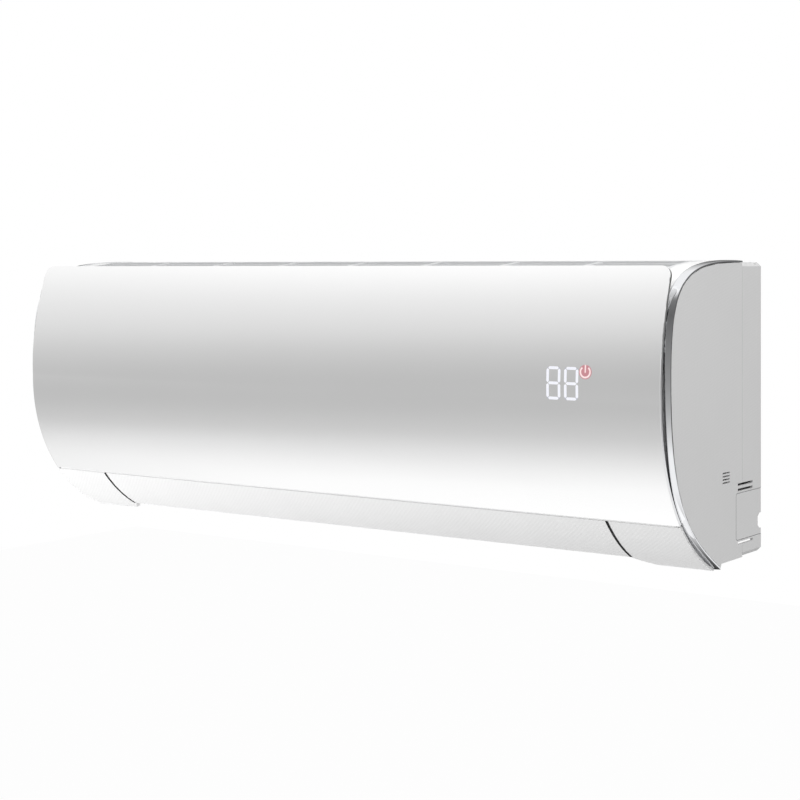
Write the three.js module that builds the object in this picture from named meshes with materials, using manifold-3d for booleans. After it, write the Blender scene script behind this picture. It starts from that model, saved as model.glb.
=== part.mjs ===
// Wall-mounted indoor unit of a split air conditioner, in millimetres.
// X runs across the width (+X is the right end seen from the room), -Y is the front, +Z is up.
// The wall is the plane Y = 0, and the origin is the middle of the mounting plate's back face.
// Section outlines are lists of [y, z] points, extruded along X.
import * as THREE from 'three';
import { mergeVertices } from 'three/addons/utils/BufferGeometryUtils.js';
import Module from 'manifold-3d';

const wasm = await Module();
wasm.setup();

// ------------------------------------------------------------------ driving dimensions
const width = 805;             // over the end caps
const wall = 2.5;              // moulded wall
const gap = 0.3;               // clearance between pieces that touch
const runGap = 1.5;            // clearance beside the louver
const seamGap = 2.6;           // front panel to louver

// The section grows outwards from the fan: scroll, coil, filter and casing. A back is a distance
// from the wall, a step one from the front line, a rise one from the tips and a drop one from the top.
const rear = { topDrop: 1.9, backWall: 9.5, chamfer: 4, channelRise: 67.4, channelDeep: 60 };
const fan = { radius: 50, shaft: 4, end: 5.5, blades: 16, cells: 3, scroll: 5.5, spread: 10.5,
  backGap: 4 };
const coil = { thick: 26, fanGap: 12, rise: 2, drop: 37, apexStep: 10, tailGap: 22 };
const room = { front: 27, top: 31.4, below: 125.4 };   // coil to front, apex to top, fan axis to tips
const trim = { wide: 9, thick: 2.2, proud: 0.3 };
const cap = { seam: 44, bellyDrop: 106.5, tipBack: 93.4, stepIn: 3.9, stepDrop: 5.4 };
const panel = {
  thick: 3, proud: 6.5, endMargin: 6, cornerRadius: 10, bottomRise: 49.4, topStep: 16.5,
  topDrop: 5.2, hingeStep: 31, hingeDrop: 27.4, armInset: 26, armThick: 4,
};
const filter = { thick: 2.5, frontGap: 7, topGap: 11.4, panGap: 3, endGap: 3.9, topAngle: 97,
  play: 0.8, windowDrop: 34.4, leftReach: 23.5, rightReach: 3.5 };
const duct = { plate: 2.5, mouthIn: 9.9, splitIn: 7.4 };
const motor = { radius: 38, long: 54, shaftGap: 4, endGap: 6.7 };
const louver = { thick: 2.6, pivotAlong: 9.1, pivotIn: 8.5, bottomStep: 83, pin: 2.5 };
const vane = { each: 5, thick: 1.8, tall: 62, chord: 26, pin: 2, crank: 11, inset: 6 };
const tray = { thick: 1.8, wide: 41, endGap: 6.2, frontStep: 19, motorGap: 6, rise: 107.4, drop: 47.4 };
const pipes = { gas: 4.76, liquid: 3.18, wall: 0.8 };
const plate = { wide: 460, rise: 73.4, drop: 31.4, thick: 1.2 };
const grille = { bays: 8, slots: 5, bar: 3.4, endMargin: 27.5, frontStep: 40.5, seamGap: 17 };

// ------------------------------------------------------------------ derived places
const fanBack = rear.backWall + wall + fan.backGap + fan.radius + fan.scroll + fan.spread;
const coilFront = fanBack + fan.radius + coil.fanGap + coil.thick;
const archRun = coilFront - fanBack - coil.apexStep;
const depth = coilFront + room.front;                               // wall to the trim's front line
const height = room.below + fan.radius + coil.rise + archRun + room.top;   // trim's top to its tips
const halfWidth = width / 2;
const topZ = height / 2;
const tipZ = -height / 2;
const frontY = -depth;
const bellyZ = topZ - cap.bellyDrop;
const seamY = -cap.seam;
const tip = [-cap.tipBack, tipZ];
const stepY = tip[0] + cap.stepIn;                 // where the chassis floor meets the tips
const bottomZ = tipZ + cap.stepDrop;
const rearTopZ = topZ - rear.topDrop;
const skinX = halfWidth - trim.proud;              // flat outer face of the end caps
const trimX = halfWidth - trim.wide;               // inner edge of the chrome strip
const frameX = trimX - gap;                        // outer face of the frame's end walls
const panelX = halfWidth - panel.endMargin;
const panelBottomZ = tipZ + panel.bottomRise;
const louverTopZ = panelBottomZ - seamGap;

// The motor fills the right end, and the duct takes the width that it leaves.
const motorX = frameX - wall - motor.endGap - motor.long;
const plateX = motorX - motor.shaftGap - 2;        // outer face of the duct's end plates
const ductHalf = plateX - duct.plate;
const fanX = ductHalf - fan.end;
const louverX = ductHalf - runGap;

const fanY = -fanBack;
const fanZ = tipZ + room.below;
const coilLow = fanZ - coil.drop;
const knee = [-coilFront, fanZ + fan.radius + coil.rise];
const kneeInner = [knee[0] + coil.thick, knee[1] - coil.thick * Math.tan(Math.PI / 8)];
const apex = [fanY - coil.apexStep, knee[1] + archRun];
const apexInner = [apex[0], apex[1] - coil.thick * Math.SQRT2];
const tailY = -rear.backWall - wall - coil.tailGap;
const tail = [tailY, apex[1] - (tailY - apex[0])];
const tailInner = [tail[0] - coil.thick * Math.SQRT1_2, tail[1] - coil.thick * Math.SQRT1_2];

// ------------------------------------------------------------------ materials
function finish(colour, roughness, metalness = 0) {
  return new THREE.MeshStandardMaterial({ color: colour, roughness, metalness });
}
const pearl = finish(0xd5d6d8, 0.18, 0.55);
const satinWhite = finish(0xe9eaeb, 0.42);
const housing = finish(0xcfd0d1, 0.5);
const chrome = finish(0xc9cbce, 0.08, 1);
const galvanised = finish(0xa9adb0, 0.4, 0.9);
const aluminium = finish(0xc4c9cd, 0.45, 0.85);
const copper = finish(0xb8703f, 0.35, 0.95);
const brass = finish(0xc6a250, 0.35, 0.9);
const darkPlastic = finish(0x2b2d30, 0.55);
const whitePlastic = finish(0xf0f0ee, 0.5);
const rubber = finish(0x1f2022, 0.85);
const boardGreen = finish(0x2f6b45, 0.55);
const meshGrey = finish(0x5d6266, 0.7);
const steel = finish(0x8d9195, 0.35, 0.95);

// ------------------------------------------------------------------ solids and booleans
function solid(geometry) {
  const bare = geometry.clone();
  bare.deleteAttribute('normal');
  bare.deleteAttribute('uv');
  const merged = mergeVertices(bare, 1e-4);
  const vertProperties = new Float32Array(merged.attributes.position.array);
  const triVerts = new Uint32Array(merged.index.array);
  return new wasm.Manifold(new wasm.Mesh({ numProp: 3, vertProperties, triVerts }));
}

function join(...parts) {
  return parts.flat().reduce((sum, part) => sum.add(part));
}

function cut(body, ...tools) {
  return tools.flat().reduce((rest, tool) => rest.subtract(tool), body);
}

const alongX = new THREE.Matrix4().makeBasis(
  new THREE.Vector3(0, 1, 0), new THREE.Vector3(0, 0, 1), new THREE.Vector3(1, 0, 0));
const alongMinusY = new THREE.Matrix4().makeBasis(
  new THREE.Vector3(1, 0, 0), new THREE.Vector3(0, 0, 1), new THREE.Vector3(0, -1, 0));

function extrude(points, length) {
  const outline = new THREE.Shape(points.map(([u, v]) => new THREE.Vector2(u, v)));
  return new THREE.ExtrudeGeometry(outline, { depth: length, bevelEnabled: false });
}

// A [y, z] outline from x0 to x1.
function prismX(points, x0, x1) {
  return solid(extrude(points, x1 - x0).applyMatrix4(alongX).translate(x0, 0, 0));
}

// An [x, z] outline from y0 back to y1.
function prismY(points, y0, y1) {
  return solid(extrude(points, y1 - y0).applyMatrix4(alongMinusY).translate(0, y1, 0));
}

function box(x0, x1, y0, y1, z0, z1) {
  const shape = new THREE.BoxGeometry(x1 - x0, y1 - y0, z1 - z0);
  return solid(shape.translate((x0 + x1) / 2, (y0 + y1) / 2, (z0 + z1) / 2));
}

function rodX(radius, x0, x1, y, z, sides = 16) {
  const shape = new THREE.CylinderGeometry(radius, radius, x1 - x0, sides);
  return solid(shape.rotateZ(Math.PI / 2).translate((x0 + x1) / 2, y, z));
}

function rodY(radius, y0, y1, x, z, sides = 12) {
  const shape = new THREE.CylinderGeometry(radius, radius, y1 - y0, sides);
  return solid(shape.translate(x, (y0 + y1) / 2, z));
}

// A profile of [radius, x] points turned about the X line through (y, z).
function turnX(profile, y, z, sides = 24) {
  const points = profile.map(([r, x]) => new THREE.Vector2(r, x));
  return solid(new THREE.LatheGeometry(points, sides).rotateZ(-Math.PI / 2).translate(0, y, z));
}

function tube(radius, path, steps, sides = 8) {
  const ring = new THREE.Shape();
  ring.absarc(0, 0, radius, 0, 2 * Math.PI);
  const options = { extrudePath: path, steps, bevelEnabled: false, curveSegments: sides };
  return solid(new THREE.ExtrudeGeometry(ring, options));
}

// The same solid at both ends of the unit.
function mirrored(make) {
  return [make(1), make(-1)];
}

function between(a, b, side) {
  return side > 0 ? [a, b] : [-b, -a];
}

// ------------------------------------------------------------------ section outlines
function shift(point, dy, dz) {
  return [point[0] + dy, point[1] + dz];
}

function bezier(points, steps) {
  const curve = new THREE.CubicBezierCurve(...points.map(([u, v]) => new THREE.Vector2(u, v)));
  return curve.getPoints(steps).map((p) => [p.x, p.y]);
}

// An open line moved to its left by a distance; the outlines here run with their inside on the left.
function inset(points, distance) {
  return points.map((point, i) => {
    const before = points[Math.max(i - 1, 0)];
    const after = points[Math.min(i + 1, points.length - 1)];
    const run = [after[0] - before[0], after[1] - before[1]];
    const length = Math.hypot(...run);
    return [point[0] - (run[1] / length) * distance, point[1] + (run[0] / length) * distance];
  });
}

function band(points, from, to) {
  return [...inset(points, from), ...inset(points, to).reverse()];
}

function circle(radius, from, to, steps, y, z) {
  return Array.from({ length: steps + 1 }, (_, i) => {
    const angle = THREE.MathUtils.degToRad(from + ((to - from) * i) / steps);
    return [y + radius * Math.cos(angle), z + radius * Math.sin(angle)];
  });
}

// The end outline: flat top, round shoulder, full belly and a long sweep back to the tip.
const trimFlat = 60;
const shoulderStart = [-trimFlat, topZ];
const belly = [frontY, bellyZ];
const bellyPullZ = bellyZ - 0.615 * (bellyZ - tipZ);
const trimArc = [
  [seamY, topZ],
  ...bezier([
    shoulderStart,
    [-trimFlat - 0.856 * (depth - trimFlat), topZ],
    [frontY, bellyZ + 0.785 * cap.bellyDrop],
    belly,
  ], 8),
  ...bezier([
    belly,
    [frontY, bellyPullZ],
    [frontY + 34.1, tipZ + 37.8],
    tip,
  ], 8).slice(1),
];

// The front panel's outer line, which the louver and the fixed lower ends carry on.
const panelBelly = [frontY - panel.proud, bellyZ - 22.8];
const panelTop = [frontY + panel.topStep, topZ - panel.topDrop];
const sweepEnd = [tip[0] - 1.6, tipZ - 1.2];
const panelRun = panelTop[1] - panelBelly[1];
const panelLine = [
  ...bezier([
    panelTop,
    [panelBelly[0] - 4.9, panelTop[1] - 0.584 * panelRun],
    [panelBelly[0], panelBelly[1] + 0.082 * panelRun],
    panelBelly,
  ], 7),
  ...bezier([
    panelBelly,
    [panelBelly[0], bellyPullZ + 0.7],
    [frontY + 53.8, sweepEnd[1] + 16.1],
    sweepEnd,
  ], 14).slice(1),
];

// The part of a line between two heights, with its ends cut exactly there.
function slice(points, high, low) {
  const out = [];
  for (let i = 1; i < points.length; i += 1) {
    const [a, b] = [points[i - 1], points[i]];
    for (const level of [high, low]) {
      if ((a[1] - level) * (b[1] - level) < 0) {
        const t = (level - a[1]) / (b[1] - a[1]);
        out.push([a[0] + t * (b[0] - a[0]), level]);
      }
    }
    if (b[1] < high && b[1] > low) out.push(b);
  }
  return out;
}

// Where a falling line stands at a height.
function faceY(points, z) {
  const i = points.findIndex((p) => p[1] <= z);
  const [a, b] = [points[i - 1], points[i]];
  return a[0] + ((a[1] - z) / (a[1] - b[1])) * (b[0] - a[0]);
}

const lowerLine = [...slice(panelLine, louverTopZ, sweepEnd[1]), sweepEnd];

// ------------------------------------------------------------------ duct and fan places
function spiral(startAngle, endAngle, startRadius, endRadius, steps) {
  return Array.from({ length: steps + 1 }, (_, i) => {
    const t = i / steps;
    const angle = THREE.MathUtils.degToRad(startAngle + (endAngle - startAngle) * t);
    const radius = startRadius + (endRadius - startRadius) * t;
    return [fanY + radius * Math.cos(angle), fanZ + radius * Math.sin(angle)];
  });
}

const scrollStart = fan.radius + fan.scroll;
const scrollEnd = scrollStart + fan.spread;
const shelfZ = fanZ + scrollStart * Math.sin(THREE.MathUtils.degToRad(64));
const floorEnd = [stepY - 1.5, bottomZ + wall + 0.4];
const scrollLine = [...spiral(64, -45, scrollStart, scrollEnd, 10), floorEnd];

// The louver ends where its line comes to the named step from the front, and turns just inside it.
const louverEndY = frontY + louver.bottomStep;
const endSpan = lowerLine.findIndex((p) => p[0] > louverEndY);
const [spanFrom, spanTo] = [lowerLine[endSpan - 1], lowerLine[endSpan]];
const spanShare = (louverEndY - spanFrom[0]) / (spanTo[0] - spanFrom[0]);
const louverEnd = [louverEndY, spanFrom[1] + spanShare * (spanTo[1] - spanFrom[1])];
const louverRun = new THREE.Vector2(spanTo[0] - spanFrom[0], spanTo[1] - spanFrom[1]).normalize();
const pivot = shift(louverEnd, -louver.pivotAlong * louverRun.x - louver.pivotIn * louverRun.y,
  -louver.pivotAlong * louverRun.y + louver.pivotIn * louverRun.x);
const lipY = louverEndY + 10;                         // duct floor's front edge
const channelTop = tipZ + rear.channelRise;
const pipeX = motorX + 1;
const pipeY = -rear.backWall - wall - 8;
const runs = {
  gas: { radius: pipes.gas, y: pipeY, z: channelTop - 20, end: -60, start: shift(tail, -13, -4),
    fall: 32, nut: 9.5 },
  liquid: { radius: pipes.liquid, y: pipeY - 11, z: channelTop - 40, end: -60,
    start: shift(tail, -34, 3), fall: 46, nut: 7.5 },
};

// The drain pan's underside is the front wall of the duct, from the nose near the fan to its mouth.
const nose = [[7, 210.6], [7, 215.4], [10, 224.3]].map(([clear, angle]) => {
  const turn = THREE.MathUtils.degToRad(angle);
  const reach = fan.radius + clear;
  return [fanY + reach * Math.cos(turn), fanZ + reach * Math.sin(turn)];
});
const mouth = [lowerLine[0][0] + duct.mouthIn, louverTopZ + 1.1];
const ductTop = nose[2];
const ductRun = new THREE.Vector2(mouth[0] - ductTop[0], mouth[1] - ductTop[1]).normalize();
const ductAcross = new THREE.Vector2(-ductRun.y, ductRun.x);

// Duct end plates and the lower ends' inner walls meet on one sloping line.
const splitFront = [lowerLine[0][0] + duct.splitIn, louverTopZ - 0.6];
const splitBack = [tip[0] - 2.6, bottomZ + 5];

const troughY = kneeInner[0] + 3;
const panFrontY = -coilFront - 4.5;
const panOutline = [
  [panFrontY, coilLow + 9],
  [panFrontY + 2, coilLow + 9],
  [panFrontY + 2, coilLow - 3.6],
  [troughY, coilLow - 5],
  [troughY, coilLow + 7],
  [troughY + 4, coilLow + 7],
  ...nose,
  mouth,
  [mouth[0] - 3, mouth[1] + 2.5],
  [mouth[0] - 7.5, mouth[1] + 11.5],
  [panFrontY + 3.5, coilLow - 15],
  [panFrontY, coilLow - 7],
];

// ------------------------------------------------------------------ wall plate and chassis
const hookX = [120, 150];
const plateLow = tipZ + plate.rise;
const plateHigh = topZ - plate.drop;
const hookZ = plateHigh - 12;

function wallPlate() {
  const half = plate.wide / 2;
  const sheet = box(-half, half, -plate.thick, 0, plateLow, plateHigh);
  const hookReach = rear.backWall + wall + gap;
  const lip = plate.thick;
  const hook = ([x0, x1]) => [
    box(x0, x1, -hookReach - lip, -plate.thick / 2, hookZ, hookZ + lip),
    box(x0, x1, -hookReach - lip, -hookReach, hookZ, hookZ + 7),
  ];
  const foot = ([x0, x1]) => [
    box(x0, x1, -rear.backWall + gap, -plate.thick / 2, plateLow, plateLow + lip),
  ];
  const hooks = mirrored((side) => hook(between(...hookX, side)));
  const feet = mirrored((side) => foot(between(...hookX, side)));
  const ribLine = (z) => [[-plate.thick / 2, z - 5], [-5, z - 2], [-5, z + 2], [-plate.thick / 2, z + 5]];
  const ribs = [plateLow + 40, plateHigh - 40].flatMap((z) =>
    mirrored((side) => prismX(ribLine(z), ...between(30, half - 30, side))));
  const screwHoles = [plateLow + 15, plateHigh - 15].flatMap((z) => [half - 130, half - 30].flatMap((x) =>
    mirrored((side) => rodY(2.6, -plate.thick - 1, 1, side * x, z, 8))));
  return cut(join(sheet, ribs, hooks.flat(2), feet.flat(2)), screwHoles);
}

function chassisRing() {
  const outline = (inX, top, bottom, c) => [
    [-inX, bottom + c], [-inX, top - c], [-inX + c, top], [inX - c, top],
    [inX, top - c], [inX, bottom + c], [inX - c, bottom], [-inX + c, bottom],
  ];
  const outer = outline(skinX, rearTopZ, bottomZ, rear.chamfer);
  const inner = outline(skinX - wall, rearTopZ - wall, bottomZ + wall, rear.chamfer - 1);
  return cut(prismY(outer, seamY + gap, -gap), prismY(inner, seamY - 1, 1));
}

// Fan chamber ends: inside the coil's arch, behind the drain pan, down to the duct floor.
function ductEndOutline() {
  const outside = inset(scrollLine, wall);
  return [
    [-rear.backWall - 1, shelfZ],
    [apexInner[0] + 38, shelfZ],
    shift(apexInner, 28, -33),
    shift(apexInner, 4, -13),
    shift(kneeInner, 24, 18.8),
    shift(kneeInner, 2, -3.2),
    [kneeInner[0] + 2, coilLow + 9.5],
    [troughY + 4.8, coilLow + 8.5],
    ...inset(nose, 0.6),
    [mouth[0] + 5.2, mouth[1] + 5.8],
    [splitFront[0] + 8.8, splitFront[1] - 4.3],
    [splitBack[0] - 0.6, splitBack[1] + 0.6],
    ...outside.slice(7).reverse(),
    [outside[7][0], channelTop],
    [-rear.backWall - 1, channelTop],
  ];
}

// The motor's seat is a polygon, so its flats are set at the clearance.
const motorSeat = (motor.radius + gap) / Math.cos(Math.PI / 24);

function motorCradle() {
  const halfTall = motor.radius + 8;
  const front = fanY;
  const slab = (x) => box(x, x + 3, front, -rear.backWall - 1, fanZ - halfTall, fanZ + halfTall);
  const bed = rodX(motorSeat, motorX, motorX + motor.long, fanY, fanZ, 24);
  return [motorX + 8, motorX + motor.long - 12].map((x) => cut(slab(x), bed));
}

const knockout = { front: 58, rise: 22.5, tall: 44.2, radius: 3 };
const knockoutLow = tipZ + knockout.rise;
const knockoutHigh = knockoutLow + knockout.tall;
const slot = { front: 54, back: 20, tall: 2.4, rises: [74.7, 69.7, 19.4] };

function roundedWindow(margin) {
  const shape = new THREE.Shape();
  const [y0, y1] = [-knockout.front + margin, 2];
  const [z0, z1] = [knockoutLow + margin, knockoutHigh - margin];
  const r = knockout.radius;
  shape.moveTo(y1, z0);
  shape.lineTo(y1, z1);
  shape.lineTo(y0 + r, z1);
  shape.absarc(y0 + r, z1 - r, r, Math.PI / 2, Math.PI, false);
  shape.absarc(y0 + r, z0 + r, r, Math.PI, 1.5 * Math.PI, false);
  return shape.getPoints(3).map((p) => [p.x, p.y]);
}

function sideSlots(x0, x1) {
  return slot.rises.map((rise) => {
    const z = tipZ + rise;
    return box(x0, x1, -slot.front, -slot.back, z - slot.tall / 2, z + slot.tall / 2);
  });
}

const bearing = { radius: 12, long: 9 };

function rearChassis() {
  const inX = skinX - wall;
  const backWall = box(-inX - 1, inX + 1, -rear.backWall - wall, -rear.backWall,
    channelTop - wall, rearTopZ - 1);
  const roofs = mirrored((side) => {
    const [x0, x1] = between(plateX - 1, frameX - wall - 2 * gap, side);
    const [x2, x3] = between(plateX - 1, inX + 1, side);
    return [
      box(x0, x1, -rear.channelDeep, seamY + 1, channelTop - wall, channelTop),
      box(x0, x1, -rear.channelDeep, -rear.channelDeep + wall, bottomZ + 1, channelTop),
      box(x2, x3, seamY + gap, -rear.backWall, channelTop - wall, channelTop),
    ];
  });
  const scrollFoot = scrollLine[scrollLine.length - 2];
  const fall = (scrollFoot[1] - channelTop) / (scrollFoot[1] - floorEnd[1]);
  const roofY = scrollFoot[0] + fall * (floorEnd[0] - scrollFoot[0]) - 1.5;
  const midRoof = box(-plateX, plateX, roofY, -rear.backWall, channelTop - wall, channelTop);
  const scroll = prismX([...scrollLine, ...inset(scrollLine, wall).reverse()], -plateX, plateX);
  const shelfY = scrollLine[0][0] + 0.5;
  const shelf = box(-plateX, plateX, shelfY, -rear.backWall - 1, shelfZ - wall, shelfZ);
  const upstand = box(-plateX, plateX, shelfY - 0.2, shelfY + 1.8, shelfZ - 1, shelfZ + 2.5);
  const lip = box(-ductHalf + gap, ductHalf - gap, lipY, floorEnd[0] + 5, bottomZ, bottomZ + wall);
  const floor = box(-frameX + wall + 0.8, frameX - wall - 0.8, stepY + 0.5, seamY + 1,
    bottomZ, bottomZ + wall);
  const tongue = box(-frameX + 6, frameX - 6, seamY - 10, seamY + 4,
    topZ - 0.5 - wall - gap - wall, topZ - 0.5 - wall - gap);
  const ends = mirrored((side) => prismX(ductEndOutline(), ...between(ductHalf, plateX, side)));
  const ribs = [ductHalf - 21.5, skinX - 42].flatMap((x) => mirrored((side) => {
    const [x0, x1] = between(x, x + wall, side);
    return box(x0, x1, -rear.backWall - 1, -2 * gap, plateLow + 8, rearTopZ - 15);
  }));
  const ductVoid = prismX([...scrollLine, [floorEnd[0] - 60, floorEnd[1]],
    [floorEnd[0] - 69, floorEnd[1] + 20], [floorEnd[0] - 69, shelfZ], [fanY - 18, shelfZ + 40]],
    -ductHalf, ductHalf);
  const shell = join(chassisRing(), backWall, roofs.flat(), midRoof, shelf, upstand, floor, ribs);
  const body = join(cut(shell, ductVoid), scroll, lip, ends, motorCradle(), tongue);
  const bearingHole = rodX(bearing.radius + gap, -plateX - 1, -ductHalf + 1, fanY, fanZ, 16);
  const shaftHole = rodX(fan.shaft + 4, ductHalf - 1, plateX + 1, fanY, fanZ, 12);
  const pipeHole = box(plateX + 0.4, pipeX + 6, runs.liquid.y - 5, runs.gas.y + 7,
    channelTop - wall - 1, channelTop + 1);
  const bridges = mirrored((side) => {
    const [x0, x1] = between(hookX[0] - 3, hookX[1] + 3, side);
    return box(x0, x1, -rear.backWall - wall - 1, -rear.backWall + 1, hookZ - 8, hookZ + 1.5);
  });
  const sideWindows = mirrored((side) => prismX(roundedWindow(0),
    ...between(inX - 2, skinX + 1, side)));
  const slots = mirrored((side) => sideSlots(...between(inX - 2, skinX + 1, side))).flat();
  return cut(body, bearingHole, shaftHole, pipeHole, bridges, sideWindows, slots);
}

function knockoutCover(side) {
  const [x0, x1] = between(skinX - wall, skinX, side);
  const sheet = prismX(roundedWindow(gap), x0, x1);
  const beyond = box(x0 - 1, x1 + 1, -2 * gap, 5, knockoutLow - 5, knockoutHigh + 5);
  const z = knockoutLow + 5.3;
  const notch = prismX([[-8, z + 11.6], [-8, z + 3.6], [-4, z], [3, z], [3, z + 15], [-4, z + 15]],
    x0 - 1, x1 + 1);
  return cut(sheet, beyond, notch);
}

// ------------------------------------------------------------------ front frame and outer trim
const frameBand = 0.5;                                 // frame skin below the trim's face
const arms = { x0: panelX - panel.armInset, x1: panelX - panel.armInset + panel.armThick };
const hinge = [frontY + panel.hingeStep, topZ - panel.hingeDrop];

// The filter is an arc that clears the front and the top alike and ends just in front of the coil.
const filterEnd = coilLow + filter.endGap;
const filterReach = panFrontY - filter.panGap - (frontY + filter.frontGap);
const filterTall = topZ - filter.topGap - filterEnd;
const filterRadius = filterReach + filterTall - Math.sqrt(2 * filterReach * filterTall);
const filterY = frontY + filter.frontGap + filterRadius;
const filterZ = topZ - filter.topGap - filterRadius;
const filterLow = 180 + THREE.MathUtils.radToDeg(Math.asin((filterZ - filterEnd) / filterRadius));
const windowX = { left: -ductHalf - filter.leftReach, right: ductHalf + filter.rightReach };
const windowZ = { high: topZ - filter.windowDrop, low: filterEnd - gap };
const midX = (windowX.left + windowX.right) / 2;
const grilleX = halfWidth - grille.endMargin;
const grilleY = frontY + grille.frontStep;
const grilleBackY = seamY - grille.seamGap;
const sensor = [-80, channelTop + 17];                 // air temperature sensor, behind its vents

// The manual button stands behind the front panel, beside the right filter.
const button = { endMargin: 36.5, drop: 56.9, radius: 4, rim: 1.5, flange: 1.3, proud: 0.8 };
const buttonX = halfWidth - button.endMargin;
const buttonZ = bellyZ - button.drop;
const buttonFront = faceY(trimArc, buttonZ) - button.proud;
const buttonFlange = faceY(trimArc, buttonZ - button.radius - button.rim) + frameBand + wall + 2 * gap;
const buttonBack = frontY + tray.frontStep - 2;        // just in front of the electrical box

function endRegion(depthIn) {
  return [...inset(trimArc, depthIn), [stepY - depthIn / 2, bottomZ], [seamY, bottomZ]];
}

// Angles on one shared grid, so that arcs of different pieces run side by side.
function arcPoints(from, to) {
  const step = 10;
  const angles = [from];
  for (let a = Math.ceil(from / step) * step - step; a > to; a -= step) {
    if (a < from) angles.push(a);
  }
  return [...angles, to].map((a) => THREE.MathUtils.degToRad(a));
}

function arcStrip(r0, r1, from, to, x0, x1) {
  const line = arcPoints(from, to);
  const at = (radius) => line.map((angle) => [
    filterY + radius * Math.cos(angle), filterZ + radius * Math.sin(angle)]);
  return prismX([...at(r0), ...at(r1).reverse()], x0, x1);
}

// A rib from the frame's skin back to the filter's inner face, with a flange on each side of it.
function filterRail(x0, x1, flange0, flange1) {
  const rib = prismX(endRegion(frameBand), x0, x1);
  const inner = filterRadius - filter.thick - filter.play;
  const hollow = rodX(inner - 2, x0 - 1, x1 + 1, filterY, filterZ, 20);
  const behind = box(x0 - 1, x1 + 1, grilleY - gap, 0, tipZ - 1, topZ + 1);
  const below = box(x0 - 1, x1 + 1, frontY - 1, 0, tipZ - 1, windowZ.low - 2);
  const panSide = box(x0 - 1, x1 + 1, panFrontY - 0.5, 0, tipZ - 1, coilLow + 11);
  const outer = filterRadius + filter.play;
  const frontFlange = arcStrip(outer, outer + 1.7, filterLow, 146, flange0, flange1);
  const rearFlange = arcStrip(inner - 2, inner, 198, 146, flange0, flange1);
  return join(cut(rib, hollow, behind, below, panSide), frontFlange, rearFlange);
}

function lowerEndInnerWall() {
  return [
    ...lowerLine,
    [tip[0] + 1.5, bottomZ - 2],
    [splitBack[0] + 0.5, splitBack[1] - 0.5],
    [splitFront[0] - 0.4, splitFront[1] - 0.5],
  ];
}

function lowerEnd(side) {
  const [x0, x1] = between(ductHalf, panelX, side);
  const skin = prismX(band(lowerLine, 0, wall), x0, x1);
  const innerWall = prismX(lowerEndInnerWall(), ...between(ductHalf, plateX, side));
  const arcBelow = slice(trimArc, louverTopZ, tipZ + 0.5);
  const web = prismX([...inset(lowerLine, 1), ...inset(arcBelow, 2).reverse()],
    ...between(frameX - wall, frameX, side));
  const headTop = panelBottomZ + 1;
  const headY = splitFront[0] - 1.4;
  const head = prismX([[lowerLine[0][0] + 0.3, louverTopZ], [headY - 4.6, headTop], [headY, headTop],
    [headY, louverTopZ - 2], [headY - 3.6, louverTopZ - 2]], ...between(ductHalf, frameX, side));
  const foot = prismX([sweepEnd, [tip[0] + 1.5, bottomZ - 1.5], [tip[0] - 1.5, bottomZ - 1.5],
    [sweepEnd[0] - 3, sweepEnd[1] + 1.6]], ...between(ductHalf + 18, frameX, side));
  const [inX, outX] = side > 0 ? [x0 - 1, x0 + 17] : [x1 + 1, x1 - 17];
  const cornerTop = sweepEnd[1] + 7.6;
  const corner = prismY([[inX, cornerTop], [inX, tipZ - 20], [outX, tipZ - 20], [outX, sweepEnd[1]]],
    tip[0] - 35, tip[0] + 12);
  const trimRoom = prismX([...inset(trimArc, -gap), [0, tipZ], [0, topZ]],
    ...between(frameX, halfWidth, side));
  return cut(join(skin, innerWall, web, head, foot), corner, trimRoom);
}

function hingeBracket(side) {
  const [x0, x1] = between(arms.x1 + 3, arms.x1 + 3 + wall, side);
  const [y, z] = hinge;
  const web = prismX([[y - 6, z], [y - 8, z + 3], [y + 6, z + 12], [y + 6, z]], x0, x1);
  return join(web, rodX(6, x0, x1, y, z, 16));
}

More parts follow.
